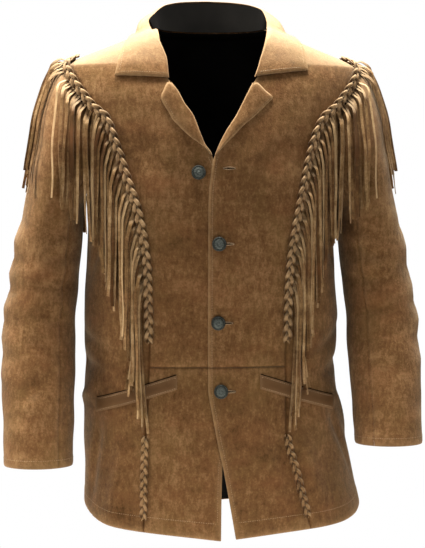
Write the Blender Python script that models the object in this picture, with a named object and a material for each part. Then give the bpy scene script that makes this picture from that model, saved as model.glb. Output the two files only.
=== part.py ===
"""A hollow suede western jacket, as it stands when it is worn, with nobody in it.

Metres, +Z up. The jacket faces -Y, and its own left side is at +X. The origin lies midway between the two
points where the shoulder seams meet the neck, which is where the wearer's shoulders carry it.
Every panel is a thin wall on one torso surface, which is read from a table of sections. Angles go round the
torso in degrees: 0 is the centre front, 90 the left side, 180 the centre back and -90 the right side.
"""

import math
from functools import lru_cache

import bmesh
import bpy
from mathutils import Vector
from mathutils.bvhtree import BVHTree

# Cloth
SUEDE = 0.0020
LINING = 0.0008
SEAM_GAP = 0.0004
LAID_GAP = 0.0007
UNDERLAP = 0.0028
LINING_DEPTH = 0.0048
LINING_INSET = 3.0

# Lengths down from the origin
SHOULDER_TIP_Z = -0.062
WAIST_Z = -0.528
SKIRT_Z = -0.620
HEM_ROW = -0.780

# Armhole, as an ellipse on the torso surface; the sleeve is sewn on this far outside it
ARMHOLE_Z = -0.165
ARMHOLE_RISE = 0.103
ARMHOLE_FRONT = 34.0
ARMHOLE_BACK = 32.0
ARMHOLE_SEAM = 0.7
ARMHOLE_SEAM_OUT = 0.0014

# Sleeves
SLEEVE_WALL = 0.0018
SLEEVE_SIDES = 20
CAP_ROWS = 5
SLEEVE_ROWS = 6
SLEEVE_LAP = 0.0025
SLEEVE_TOP_Z = -0.285
SLEEVE_SECOND_Z = -0.300
CAP_LEAVE = 0.75
CAP_ARRIVE = 0.85
CAP_SWELL = 0.7
CUFF_Z = {"left": -0.655, "right": -0.682}

# Trims
BRAID_WIDTH = 0.012
BRAID_LOW = 0.0010
BRAID_HIGH = 0.0045
BRAID_STEP = 0.015
BRAID_TIP_LIFT = 0.0022
BRAID_HOLE_OFF = (5.0, 0.0115)
UPPER_BRAID_END_Z = -0.492
LOWER_BRAID_Z = (-0.632, -0.762)
STRIP_GAP = 0.0014
STRIP_WIDTH = 0.0032
STRIP_THICK = 0.0015
STRIP_TIP_LIFT = 0.0030
STRAND_PITCH = 0.0083
STRAND_WIDTH = 0.0040
STRAND_THICK = 0.0012
STRAND_CLEAR = 0.0011
LAYER_STEP = 0.0034
LAYERS = 3
LEAST_SPACING = 0.0016
CLEAR_SPACING = 0.0048
STRAND_BACK = 0.185
STRAND_FRONT = 0.176
STRAND_CHEST = 0.022
STRAND_LOW = 0.032
STRAND_UNEVEN = 0.06
KNOT_OUT = 0.0075
KNOT_DOWN = 0.005
RAY = 0.25
FRINGE_END_Z = -0.488

# Collar, buttons and pockets
COLLAR_THICK = 0.0025
COLLAR_GAP = 0.0013
COLLAR_SIDE_GAP = 0.0016
COLLAR_ARCH = 0.006
STAND_END = 0.57
STAND_HEIGHT = 0.94
STAND_THICK = 0.0018
STAND_INSET = 0.0030
STAND_GAP = 0.0008
LAPEL_ROLL = 0.0010
BUTTON_RADIUS = 0.011
BUTTON_SIDES = 12
POCKET_INNER = (0.064, -0.5395)
POCKET_OUTER = (0.186, -0.579)
WELT_HEIGHT = 0.022

SIDES = {"left": 1, "right": -1}


class Table:
    """Rows with named columns, read smoothly and without overshoot along the first column."""

    def __init__(self, names, rows):
        self.names = names.split()
        rows = sorted(rows)
        self.keys = [row[0] for row in rows]
        self.columns = {}
        for number, name in enumerate(self.names):
            values = [row[number] for row in rows]
            self.columns[name] = (values, self.slopes(values))

    def slopes(self, values):
        """Slope at each row: the harmonic mean of its two neighbours' slopes, or 0 at a turn."""
        steps = [
            (values[i + 1] - values[i]) / (self.keys[i + 1] - self.keys[i])
            for i in range(len(values) - 1)
        ]
        inner = [
            2 * a * b / (a + b) if a * b > 0 else 0.0 for a, b in zip(steps, steps[1:])
        ]
        return [steps[0], *inner, steps[-1]]

    def at(self, name, key):
        values, slopes = self.columns[name]
        if key <= self.keys[0]:
            return values[0]
        if key >= self.keys[-1]:
            return values[-1]
        i = next(n for n in range(len(self.keys) - 1) if key <= self.keys[n + 1])
        width = self.keys[i + 1] - self.keys[i]
        t = (key - self.keys[i]) / width
        return (
            (1 + 2 * t) * (1 - t) ** 2 * values[i]
            + t * (1 - t) ** 2 * width * slopes[i]
            + t * t * (3 - 2 * t) * values[i + 1]
            + t * t * (t - 1) * width * slopes[i + 1]
        )


# Half-widths to the left and right, depths to the front and back, and how square the section is
TORSO = Table(
    "z left right front back square",
    (
        (0.000, 0.087, 0.087, 0.060, 0.070, 0.02),
        (-0.010, 0.113, 0.113, 0.070, 0.086, 0.02),
        (-0.030, 0.162, 0.162, 0.083, 0.104, 0.02),
        (-0.050, 0.211, 0.211, 0.092, 0.113, 0.02),
        (-0.064, 0.236, 0.236, 0.098, 0.117, 0.03),
        (-0.085, 0.239, 0.239, 0.105, 0.121, 0.04),
        (-0.115, 0.234, 0.234, 0.113, 0.125, 0.05),
        (-0.207, 0.210, 0.210, 0.127, 0.127, 0.06),
        (-0.270, 0.199, 0.199, 0.130, 0.124, 0.07),
        (-0.340, 0.196, 0.197, 0.130, 0.118, 0.07),
        (-0.470, 0.202, 0.203, 0.126, 0.112, 0.07),
        (-0.530, 0.199, 0.201, 0.126, 0.113, 0.06),
        (-0.600, 0.206, 0.203, 0.131, 0.119, 0.06),
        (-0.680, 0.222, 0.203, 0.138, 0.126, 0.05),
        (-0.800, 0.249, 0.204, 0.147, 0.132, 0.05),
    ),
)
HEM = Table(
    "angle z",
    (
        (0, -0.792),
        (25, -0.782),
        (50, -0.775),
        (75, -0.761),
        (95, -0.750),
        (130, -0.766),
        (180, -0.781),
    ),
)
# The free or turned edge of each front, as x: neck seam, roll line, then front edge
FRONT_EDGE = Table(
    "z left right",
    (
        (0.000, 0.0862, -0.0862),
        (-0.010, 0.0840, -0.0855),
        (-0.030, 0.0785, -0.0840),
        (-0.060, 0.0690, -0.0800),
        (-0.080, 0.0610, -0.0765),
        (-0.092, 0.0541, -0.0705),
        (-0.105, 0.0470, -0.0610),
        (-0.125, 0.0365, -0.0505),
        (-0.142, 0.0275, -0.0385),
        (-0.168, 0.0105, -0.0285),
        (-0.187, 0.0005, -0.0205),
        (-0.200, -0.0050, -0.0112),
        (-0.212, -0.0090, -0.0078),
        (-0.225, -0.0110, 0.0000),
        (-0.255, -0.0150, 0.0080),
        (-0.300, -0.0166, 0.0160),
        (-0.560, -0.0166, 0.0166),
        (-0.600, -0.0106, 0.0166),
        (-0.640, -0.0030, 0.0120),
        (-0.680, 0.0060, 0.0045),
        (-0.790, 0.0257, 0.0015),
    ),
)
# The braided seam down each front, as a distance from the centre front
PRINCESS = Table(
    "z left right",
    (
        (-0.112, 0.212, 0.214),
        (-0.122, 0.194, 0.197),
        (-0.140, 0.169, 0.173),
        (-0.180, 0.149, 0.156),
        (-0.226, 0.137, 0.142),
        (-0.290, 0.123, 0.122),
        (-0.370, 0.111, 0.109),
        (-0.480, 0.105, 0.105),
        (-0.623, 0.105, 0.111),
        (-0.700, 0.122, 0.114),
        (-0.790, 0.146, 0.116),
    ),
)
# The lower edge of the back yoke
BACK_YOKE = Table(
    "z angle",
    (
        (-0.118, 118.5),
        (-0.135, 130.0),
        (-0.155, 142.0),
        (-0.175, 156.0),
        (-0.190, 170.0),
        (-0.196, 180.0),
    ),
)
# Sleeve sections below the cap: centre, half-width and half-depth of the outer face
SLEEVE = Table(
    "z x y wide deep",
    (
        (-0.285, 0.2510, 0.000, 0.0470, 0.072),
        (-0.336, 0.2580, -0.001, 0.0530, 0.068),
        (-0.400, 0.2660, -0.006, 0.0545, 0.064),
        (-0.470, 0.2740, -0.016, 0.0570, 0.060),
        (-0.530, 0.2750, -0.030, 0.0575, 0.057),
        (-0.600, 0.2755, -0.050, 0.0555, 0.053),
        (-0.680, 0.2755, -0.070, 0.0530, 0.049),
    ),
)
# Collar, from the centre back to the notch: neck seam on the torso, roll line and outer edge
COLLAR = {
    "left": Table(
        "part turn drop roll_x roll_y roll_z edge_x edge_y edge_z",
        (
            (0.00, 180.0, 0.000, 0.0000, 0.0800, 0.052, 0.0000, 0.1120, -0.010),
            (0.15, 152.0, 0.000, 0.0370, 0.0740, 0.050, 0.0480, 0.1060, -0.012),
            (0.30, 126.0, 0.000, 0.0680, 0.0550, 0.044, 0.0900, 0.0800, -0.013),
            (0.45, 104.0, 0.000, 0.0880, 0.0220, 0.031, 0.1180, 0.0280, -0.012),
            (0.60, 88.0, -0.004, 0.0900, -0.0150, 0.010, 0.1280, -0.0250, -0.027),
            (0.75, 74.0, -0.033, 0.0775, -0.0540, -0.030, 0.1340, -0.0500, -0.043),
            (0.90, 60.0, -0.066, 0.0655, -0.0800, -0.066, 0.1385, -0.0680, -0.060),
            (1.00, 50.0, -0.084, 0.0580, -0.0950, -0.085, 0.1405, -0.0800, -0.074),
        ),
    ),
    "right": Table(
        "part turn drop roll_x roll_y roll_z edge_x edge_y edge_z",
        (
            (0.00, 180.0, 0.000, 0.0000, 0.0800, 0.052, 0.0000, 0.1120, -0.010),
            (0.15, 152.0, 0.000, 0.0370, 0.0740, 0.050, 0.0480, 0.1060, -0.012),
            (0.30, 126.0, 0.000, 0.0690, 0.0560, 0.043, 0.0880, 0.0800, -0.013),
            (0.45, 104.0, 0.000, 0.0900, 0.0250, 0.027, 0.1130, 0.0280, -0.011),
            (0.60, 88.0, -0.004, 0.1020, -0.0120, 0.008, 0.1260, -0.0250, -0.028),
            (0.75, 74.0, -0.033, 0.0860, -0.0540, -0.032, 0.1370, -0.0500, -0.047),
            (0.90, 60.0, -0.066, 0.0755, -0.0790, -0.067, 0.1480, -0.0680, -0.068),
            (1.00, 50.0, -0.086, 0.0745, -0.0930, -0.088, 0.1550, -0.0800, -0.083),
        ),
    ),
}
# Lapels, from the notch down to the break: how far the outer edge stands from the roll line
LAPEL = Table(
    "z left right",
    (
        (-0.0930, 0.0090, 0.0070),
        (-0.1040, 0.0255, 0.0210),
        (-0.1165, 0.0435, 0.0320),
        (-0.1250, 0.0395, 0.0335),
        (-0.1460, 0.0290, 0.0355),
        (-0.1600, 0.0215, 0.0285),
        (-0.1750, 0.0165, 0.0190),
        (-0.1900, 0.0085, 0.0055),
        (-0.2030, 0.0040, 0.0020),
    ),
)
ROWS = (
    -0.003, -0.010, -0.020, -0.032, -0.046, -0.0625, -0.068, -0.080, -0.096, -0.114, -0.122,
    -0.140, -0.160, -0.180, -0.200, -0.212, -0.235, -0.252, -0.263, -0.2685, -0.300, -0.345, -0.395,
    -0.440, -0.485, WAIST_Z, -0.570, SKIRT_Z, -0.660, -0.700, -0.740, HEM_ROW,
)


def smooth(t):
    t = min(1.0, max(0.0, t))
    return t * t * (3 - 2 * t)


def spread(low, high, steps):
    return [low + (high - low) * n / steps for n in range(steps + 1)]


@lru_cache(maxsize=None)
def torso(angle, z):
    """The point of the torso surface at this angle and height."""
    turn = math.radians(angle)
    across, ahead = math.sin(turn), math.cos(turn)
    bulge = 1 + TORSO.at("square", z) * math.sin(2 * turn) ** 2
    half = TORSO.at("left" if across > 0 else "right", z)
    deep = TORSO.at("front" if ahead > 0 else "back", z)
    return Vector((half * across * bulge, -deep * ahead * bulge, z))


@lru_cache(maxsize=None)
def torso_slopes(angle, z):
    """How the surface moves for each degree and each metre of height, and its outward normal."""
    low, high = z - 0.002, min(z + 0.002, 0.0)
    round_it = (torso(angle + 0.5, z) - torso(angle - 0.5, z)) / 1.0
    up = (torso(angle, high) - torso(angle, low)) / (high - low)
    normal = round_it.cross(up).normalized()
    return round_it, up, normal


def skin(angle, z, out=0.0):
    return torso(angle, z) + torso_slopes(angle, z)[2] * out


def angle_at(z, x):
    """The angle on the front where the torso surface has this x."""
    low, high = -90.0, 90.0
    for _ in range(34):
        middle = (low + high) / 2
        if torso(middle, z).x < x:
            low = middle
        else:
            high = middle
    return (low + high) / 2


def level(row, angle):
    """The height of a row at this angle: rows below the skirt line spread out to follow the hem."""
    if row >= SKIRT_Z:
        return row
    turned = abs((angle + 180) % 360 - 180)
    share = (row - SKIRT_Z) / (HEM_ROW - SKIRT_Z)
    return SKIRT_Z + share * (HEM.at("z", turned) - SKIRT_Z)


def armhole_half(z, wide):
    """Half the armhole's opening at this height, in degrees."""
    reach = 1 - ((z - ARMHOLE_Z) / ARMHOLE_RISE) ** 2
    return wide * math.sqrt(max(0.0, reach))


def front_inner(side, row):
    return SIDES[side] * angle_at(row, FRONT_EDGE.at(side, row))


def princess(side, row):
    return SIDES[side] * angle_at(row, SIDES[side] * PRINCESS.at(side, row))


def front_outer(side, row):
    """Outer edge of the centre front: shoulder seam, then armhole, then braided seam."""
    if row > SHOULDER_TIP_Z:
        return 90.0
    if row > -0.114:
        return 90.0 - armhole_half(row, ARMHOLE_FRONT)
    return min(princess(side, row), 90.0 - armhole_half(row, ARMHOLE_FRONT))


def side_outer(side, row):
    return 90.0 - armhole_half(row, ARMHOLE_FRONT)


def back_inner(side, row):
    return 90.0 + armhole_half(row, ARMHOLE_BACK)


def back_outer(side, row):
    return BACK_YOKE.at("angle", row) if row > BACK_YOKE.keys[0] else 180.0


def underlap(side, angle, z):
    """How deep the right front lies under the left one near the centre front."""
    if side == "left":
        return 0.0
    x = torso(SIDES[side] * angle, z).x
    return -UNDERLAP * smooth((x + 0.080) / 0.045) * smooth((-0.170 - z) / 0.030)


FACED = {}


def lay(mesh, name, colour):
    """An object for a closed mesh, its faces turned outwards, with its material."""
    bmesh.ops.recalc_face_normals(mesh, faces=mesh.faces)
    data = bpy.data.meshes.new(name)
    mesh.to_mesh(data)
    mesh.free()
    if sum(p.center.dot(p.normal) * p.area for p in data.polygons) < 0:
        data.flip_normals()
    data.shade_smooth()
    data.set_sharp_from_angle(angle=math.radians(40))
    data.materials.append(MATERIALS[colour])
    made = bpy.data.objects.new(name, data)
    bpy.context.scene.collection.objects.link(made)
    return made


def slab(name, outer, inner, colour):
    """A closed wall between two grids of points, each a list of rows."""
    mesh = bmesh.new()
    tops = [[mesh.verts.new(p) for p in row] for row in outer]
    bottoms = [[mesh.verts.new(p) for p in row] for row in inner]
    last, side = len(tops) - 1, len(tops[0]) - 1
    FACED[name] = 2 * last * side
    for i in range(last):
        for j in range(side):
            mesh.faces.new((tops[i][j], tops[i][j + 1], tops[i + 1][j + 1], tops[i + 1][j]))
            mesh.faces.new((bottoms[i][j], bottoms[i + 1][j], bottoms[i + 1][j + 1], bottoms[i][j + 1]))
    for j in range(side):
        for i in (0, last):
            mesh.faces.new((tops[i][j], tops[i][j + 1], bottoms[i][j + 1], bottoms[i][j]))
    for i in range(last):
        for j in (0, side):
            mesh.faces.new((tops[i][j], tops[i + 1][j], bottoms[i + 1][j], bottoms[i][j]))
    return lay(mesh, name, colour)


def panel(name, side, rows, low, high, columns, top=0.0, thick=SUEDE, sink=None, colour="suede"):
    """A wall on the torso surface between two edges, given as angles of the left half at each row."""
    outer, inner = [], []
    for number, row in enumerate(rows):
        shift = {0: -SEAM_GAP / 2, len(rows) - 1: SEAM_GAP / 2}.get(number, 0.0)
        first, final = low(side, row), high(side, row)
        middle = SIDES[side] * (first + final) / 2
        trim = SEAM_GAP / 2 / torso_slopes(middle, row)[0].length
        angles = spread(first + trim, final - trim, columns)
        tops, bottoms = [], []
        for angle in angles:
            z = level(row, angle) + shift
            out = top + (sink(side, angle, z) if sink else 0.0)
            tops.append(skin(SIDES[side] * angle, z, out))
            bottoms.append(skin(SIDES[side] * angle, z, out - thick))
        outer.append(tops)
        inner.append(bottoms)
    return slab(name, outer, inner, colour)


def rows_between(high, low):
    return [row for row in ROWS if low - 1e-6 <= row <= high + 1e-6]


def make_fronts():
    """Each front: the centre front above and below the waist seam, and the side front beyond the braid."""
    for side in SIDES:
        for name, high, low in (("front_upper", 0, WAIST_Z), ("front_lower", WAIST_Z, HEM_ROW)):
            rows = rows_between(high, low)
            panel(f"{name}_{side}", side, rows, front_inner, front_outer, 5, sink=underlap)
        panel(f"front_side_{side}", side, rows_between(-0.122, HEM_ROW), princess, side_outer, 5)


def mirrored(edge):
    """The same edge on the other half, counted on past the centre back."""
    return lambda side, row: 360.0 - edge(side, row)


def yoke_edge(side, row):
    if row > SHOULDER_TIP_Z:
        return 90.0
    return BACK_YOKE.at("angle", row) if row < BACK_YOKE.keys[-1] else back_inner(side, row)


def lining_edge(side, row):
    return (back_inner(side, row) if row < SHOULDER_TIP_Z else 90.0) + LINING_INSET


def make_back():
    for side in SIDES:
        panel(f"back_{side}", side, rows_between(-0.122, HEM_ROW), back_inner, back_outer, 7)
    rows = [*rows_between(0, -0.180), -0.193]
    panel("back_yoke", "left", rows, yoke_edge, mirrored(yoke_edge), 14)


def make_lining():
    """The lining of the back, which shows through the neck and the front opening."""
    above = rows_between(-0.008, -0.50)[::2]
    rows = [*above, *rows_between(-0.52, -0.71), -0.768]
    panel(
        "lining_back", "left", rows, lining_edge, mirrored(lining_edge), 12,
        top=-LINING_DEPTH, thick=LINING, colour="lining",
    )


def sleeve_ring(side, z, thin):
    """Points round one sleeve section, from the underarm through the front, the outer side and the back."""
    stretch = (CUFF_Z[side] - SLEEVE_TOP_Z) / (SLEEVE.keys[0] - SLEEVE_TOP_Z)
    key = SLEEVE_TOP_Z + (z - SLEEVE_TOP_Z) / stretch
    x, y = SLEEVE.at("x", key), SLEEVE.at("y", key)
    wide, deep = SLEEVE.at("wide", key) - thin, SLEEVE.at("deep", key) - thin
    ring = []
    for n in range(SLEEVE_SIDES):
        turn = 2 * math.pi * n / SLEEVE_SIDES - math.pi / 2
        ring.append(Vector((SIDES[side] * (x + wide * math.sin(turn)), y - deep * math.cos(turn), z)))
    return ring


def armhole_ring(side):
    """The line on the torso, just outside the armhole, where the sleeve is sewn on."""
    ring = []
    for n in range(SLEEVE_SIDES):
        turn = 2 * math.pi * n / SLEEVE_SIDES - math.pi / 2
        wide = (ARMHOLE_FRONT if math.cos(turn) > 0 else ARMHOLE_BACK) + ARMHOLE_SEAM
        angle = 90.0 - wide * math.cos(turn)
        z = ARMHOLE_Z + (ARMHOLE_RISE + SLEEVE_LAP) * math.sin(turn)
        under = SLEEVE_WALL * smooth(-2 * math.sin(turn) - 0.4)
        over = ARMHOLE_SEAM_OUT * smooth(3 * math.sin(turn) - 2)
        ring.append((SIDES[side] * angle, z, ARMHOLE_SEAM_OUT + under + over))
    return ring


def sleeve_rings(side):
    """Inner face of a sleeve as rings, from the armhole over the cap and down to the cuff."""
    first = sleeve_ring(side, SLEEVE_TOP_Z, SLEEVE_WALL)
    second = sleeve_ring(side, SLEEVE_SECOND_Z, SLEEVE_WALL)
    rings = [[] for _ in range(CAP_ROWS)]
    for n, (angle, z, out) in enumerate(armhole_ring(side)):
        start = skin(angle, z, out)
        end, after = first[n], second[n]
        reach = (end - start).length
        normal = torso_slopes(angle, z)[2].copy()
        normal.z = 0
        leave = (end - start).normalized() + CAP_SWELL * normal.normalized()
        leave = leave.normalized() * reach * CAP_LEAVE
        arrive = (after - end).normalized() * reach * CAP_ARRIVE
        for row in range(CAP_ROWS):
            t = row / CAP_ROWS
            rings[row].append(
                start * (1 + 2 * t) * (1 - t) ** 2
                + leave * t * (1 - t) ** 2
                + end * t * t * (3 - 2 * t)
                + arrive * t * t * (t - 1)
            )
    for z in spread(SLEEVE_TOP_Z, CUFF_Z[side], SLEEVE_ROWS):
        rings.append(sleeve_ring(side, z, SLEEVE_WALL))
    return rings


def ring_normals(rings):
    """Outward normal at each point of a tube."""
    normals = []
    last = len(rings) - 1
    for i, ring in enumerate(rings):
        centre = sum(ring, Vector()) / len(ring)
        row = []
        for j, point in enumerate(ring):
            along = rings[min(i + 1, last)][j] - rings[max(i - 1, 0)][j]
            across = ring[(j + 1) % len(ring)] - ring[j - 1]
            normal = along.cross(across).normalized()
            row.append(normal if normal.dot(point - centre) > 0 else -normal)
        normals.append(row)
    return normals


def make_sleeves():
    """Each sleeve has a top sleeve outside and an under sleeve inside, split along the tube."""
    seam_front, seam_back = 3, SLEEVE_SIDES - 4
    for side in SIDES:
        rings = sleeve_rings(side)
        normals = ring_normals(rings)
        pieces = {
            "sleeve_top": list(range(seam_front, seam_back + 1)),
            "sleeve_under": [*range(seam_back, SLEEVE_SIDES), *range(0, seam_front + 1)],
        }
        for name, columns in pieces.items():
            outer, inner = [], []
            for ring, normal in zip(rings, normals):
                points = [ring[j].copy() for j in columns]
                for end, beside in ((0, 1), (-1, -2)):
                    points[end] += (points[beside] - points[end]).normalized() * SEAM_GAP / 2
                inner.append(points)
                outer.append([p + normal[j] * SLEEVE_WALL for p, j in zip(points, columns)])
            slab(f"{name}_{side}", outer, inner, "suede")


def surface_tree(names):
    """The outward faces of these walls, for finding what lies under a loose piece."""
    points, faces = [], []
    for name in names:
        data = bpy.data.objects[name].data
        start = len(points)
        points += [v.co.copy() for v in data.vertices]
        for polygon in list(data.polygons)[: FACED[name] : 2]:
            faces.append([start + v for v in polygon.vertices])
    return BVHTree.FromPolygons(points, faces)


def raised(tree, point, clear):
    """The point, moved off the surface under it until it clears it by this much."""
    place, normal, _, _ = tree.find_nearest(point)
    away = (point - place).dot(normal)
    if away >= clear:
        return point
    return point + normal * (clear - away)


def torso_tree():
    """The torso surface itself, for laying the collar on."""
    heights = [z for row, after in zip(ROWS[:10], ROWS[1:11]) for z in (row, (row + after) / 2)]
    points = [torso(angle, z) for z in heights for angle in range(-180, 180, 6)]
    faces = []
    for i in range(len(heights) - 1):
        for j in range(60):
            after = (j + 1) % 60
            faces.append((i * 60 + j, (i + 1) * 60 + j, (i + 1) * 60 + after, i * 60 + after))
    return BVHTree.FromPolygons(points, faces)


def collar_point(side, part, name):
    x, y, z = (COLLAR[side].at(f"{name}_{axis}", part) for axis in "xyz")
    return Vector((SIDES[side] * x, y, z))


def neck_point(side, part):
    drop = COLLAR[side].at("drop", part)
    if drop > -0.006:
        return torso(SIDES[side] * COLLAR[side].at("turn", part), drop)
    return torso(angle_at(drop, FRONT_EDGE.at(side, drop)), drop)


def flat(vector):
    return Vector((vector.x, vector.y, 0)).normalized()


# Points along the collar, from its right end round the back of the neck to its left end
COLLAR_STEPS = (0.0, 0.12, 0.24, 0.36, 0.46, 0.54, 0.61, 0.68, 0.76, 0.84, 0.92, 1.0)
COLLAR_PARTS = [("right", t) for t in COLLAR_STEPS[:0:-1]] + [("left", t) for t in COLLAR_STEPS]


def make_collar():
    """The fall of the collar, turned over the roll line onto the shoulders."""
    body = torso_tree()
    outer, inner = [], []
    for share in (0.0, 0.12, 0.40, 0.70, 1.0):
        tops, bottoms = [], []
        for side, part in COLLAR_PARTS:
            roll, edge = collar_point(side, part, "roll"), collar_point(side, part, "edge")
            away = flat(edge - roll)
            front = smooth((part - 0.55) / 0.4)
            arch = COLLAR_ARCH * (1 - front) * math.sin(math.pi * min(1.0, share * 1.5))
            point = roll.lerp(edge, share) + away * arch + Vector((0, 0, arch * 0.5))
            clear = COLLAR_GAP + COLLAR_SIDE_GAP * smooth(part * 4 - 1) * smooth(4.0 - part * 4)
            low = raised(body, point, clear)
            lift = away.lerp(body.find_nearest(low)[1], max(front, 0.6 * share)).normalized()
            tops.append(low + lift * COLLAR_THICK)
            bottoms.append(low)
        outer.append(tops)
        inner.append(bottoms)
    slab("collar", outer, inner, "suede")


def make_stand():
    """The collar's stand, which rises from the neck seam to the roll line inside the fall."""
    outer, inner = [], []
    for share in (0.0, 0.5, 1.0):
        tops, bottoms = [], []
        for side, whole in COLLAR_PARTS:
            part = whole * STAND_END
            neck, roll = neck_point(side, part), collar_point(side, part, "roll")
            out = flat(neck)
            point = neck.lerp(roll, STAND_HEIGHT * share) - out * STAND_INSET + Vector((0, 0, STAND_GAP))
            tops.append(point + out * STAND_THICK)
            bottoms.append(point)
        outer.append(tops)
        inner.append(bottoms)
    slab("collar_stand", outer, inner, "lining")


def make_lapels():
    for side in SIDES:
        outer, inner = [], []
        for z in LAPEL.keys[::-1]:
            roll = SIDES[side] * FRONT_EDGE.at(side, z)
            tops, bottoms = [], []
            for share in (0.02, 0.5, 1.0):
                x = SIDES[side] * (roll + LAPEL.at(side, z) * share)
                angle = angle_at(z, x)
                sunk = underlap(side, SIDES[side] * angle, z)
                low = LAID_GAP + sunk + LAPEL_ROLL * math.sin(math.pi * share)
                tops.append(skin(angle, z, low + SUEDE))
                bottoms.append(skin(angle, z, low))
            outer.append(tops)
            inner.append(bottoms)
        slab(f"lapel_{side}", outer, inner, "suede")


def make_pockets():
    for side in SIDES:
        outer, inner = [], []
        for drop in (0.0, WELT_HEIGHT):
            tops, bottoms = [], []
            for share in spread(0.0, 1.0, 9):
                x = POCKET_INNER[0] + (POCKET_OUTER[0] - POCKET_INNER[0]) * share
                z = POCKET_INNER[1] + (POCKET_OUTER[1] - POCKET_INNER[1]) * share - drop
                angle = angle_at(z, SIDES[side] * x)
                low = LAID_GAP + underlap(side, SIDES[side] * angle, z)
                tops.append(skin(angle, z, low + SUEDE))
                bottoms.append(skin(angle, z, low))
            outer.append(tops)
            inner.append(bottoms)
        slab(f"pocket_welt_{side}", outer, inner, "welt")


# Buttons: name, x, z and how far out of the torso surface their backs lie
BUTTONS = (
    ("button_top", -0.031, -0.230, -0.0016),
    ("button_chest", 0.000, -0.339, 0.0005),
    ("button_middle", -0.001, -0.460, 0.0005),
    ("button_low", 0.003, -0.565, 0.0005),
)
BUTTON_PROFILE = ((0.85, 0.0000), (1.00, 0.0012), (0.90, 0.0030), (0.50, 0.0042))


def make_buttons():
    for name, x, z, out in BUTTONS:
        angle = angle_at(z, x)
        normal = torso_slopes(angle, z)[2]
        base = skin(angle, z, out)
        side_way = Vector((0, 0, 1)).cross(normal).normalized()
        up = normal.cross(side_way)
        mesh = bmesh.new()
        rings = []
        for radius, height in BUTTON_PROFILE:
            ring = []
            for n in range(BUTTON_SIDES):
                turn = 2 * math.pi * n / BUTTON_SIDES
                spoke = side_way * math.cos(turn) + up * math.sin(turn)
                ring.append(mesh.verts.new(base + spoke * radius * BUTTON_RADIUS + normal * height))
            rings.append(ring)
        for lower, upper in zip(rings, rings[1:]):
            for n in range(BUTTON_SIDES):
                after = (n + 1) % BUTTON_SIDES
                mesh.faces.new((lower[n], lower[after], upper[after], upper[n]))
        mesh.faces.new(rings[0])
        mesh.faces.new(rings[-1])
        lay(mesh, name, "metal")


def through(points, steps):
    """A smooth line through pairs of numbers, with this many steps between each two."""
    line = []
    last = len(points) - 1
    for i in range(last):
        before, a, b, after = (Vector(points[min(max(i + k, 0), last)]) for k in (-1, 0, 1, 2))
        for n in range(steps):
            t = n / steps
            line.append(
                0.5 * (2 * a + (b - before) * t + (2 * before - 5 * a + 4 * b - after) * t * t
                       + (3 * a - before - 3 * b + after) * t ** 3)
            )
    return [*line, Vector(points[-1])]


# Where the braid's line is read: heights on the yoke, turns round the armhole, heights on the front
YOKE_MARKS = (-0.191, -0.177, -0.157, -0.138)
HOLE_MARKS = (148, 128, 108, 90, 72, 54, 38)
FRONT_MARKS = (-0.127, -0.145, -0.170, -0.200, -0.240, -0.290, -0.350, -0.420, UPPER_BRAID_END_Z)


def braid_route(side, low_z):
    """Angles and heights along the braid: centre back, yoke edge, over the shoulder, chest, braided seam."""
    yoke = [(179.5, -0.1961), *((BACK_YOKE.at("angle", z), z) for z in YOKE_MARKS)]
    hole = []
    for turn in HOLE_MARKS:
        wide = (ARMHOLE_FRONT if turn < 90 else ARMHOLE_BACK) + BRAID_HOLE_OFF[0]
        rise = ARMHOLE_RISE + BRAID_HOLE_OFF[1]
        angle = 90.0 - wide * math.cos(math.radians(turn))
        hole.append((angle, ARMHOLE_Z + rise * math.sin(math.radians(turn))))
    front = [(princess(side, z), z) for z in FRONT_MARKS if z >= low_z]
    return [(SIDES[side] * angle, z) for angle, z in through([*yoke, *hole, *front], 12)]


def even_route(route, step):
    """The route again at equal steps along the torso surface."""
    line = [torso(angle, z) for angle, z in route]
    run = [0.0]
    for a, b in zip(line, line[1:]):
        run.append(run[-1] + (b - a).length)
    count = max(2, round(run[-1] / step))
    even, i = [], 0
    for n in range(count + 1):
        goal = run[-1] * n / count
        while i < len(run) - 2 and run[i + 1] < goal:
            i += 1
        t = (goal - run[i]) / (run[i + 1] - run[i])
        even.append(tuple(Vector(route[i]).lerp(Vector(route[i + 1]), t)))
    return even


def travel(side, even, n):
    """Which way the route runs at its point n, and which way its outer edge lies, along the surface."""
    ahead = torso(*even[min(n + 1, len(even) - 1)]) - torso(*even[max(n - 1, 0)])
    normal = torso_slopes(*even[n])[2]
    ahead = (ahead - normal * ahead.dot(normal)).normalized()
    return ahead, SIDES[side] * normal.cross(ahead)


def beside(side, even, n, off, out):
    """A point off to the route's outer side by this much, on the torso surface, then moved out."""
    angle, z = even[n]
    round_it, up, _ = torso_slopes(angle, z)
    shift = travel(side, even, n)[1] * off
    a, b, c = round_it.dot(round_it), round_it.dot(up), up.dot(up)
    p, q = shift.dot(round_it), shift.dot(up)
    scale = a * c - b * b
    return skin(angle + (p * c - q * b) / scale, z + (q * a - p * b) / scale, out)


def make_braid(name, side, even):
    """A flat plait over the seam: a low bar with sloping sides, lifted a little at the shoulder."""
    half = BRAID_WIDTH / 2
    shoulder = 0.7 * half
    profile = ((-half, BRAID_LOW), (-shoulder, BRAID_HIGH), (shoulder, BRAID_HIGH), (half, BRAID_LOW))
    mesh = bmesh.new()
    rings = []
    for n in range(len(even)):
        lift = BRAID_TIP_LIFT * smooth((even[n][1] + 0.110) / 0.030)
        rings.append([mesh.verts.new(beside(side, even, n, off, out + lift)) for off, out in profile])
    for lower, upper in zip(rings, rings[1:]):
        for k in range(4):
            mesh.faces.new((lower[k], lower[(k + 1) % 4], upper[(k + 1) % 4], upper[k]))
    mesh.faces.new(rings[0])
    mesh.faces.new(rings[-1])
    return lay(mesh, name, "suede")


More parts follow.
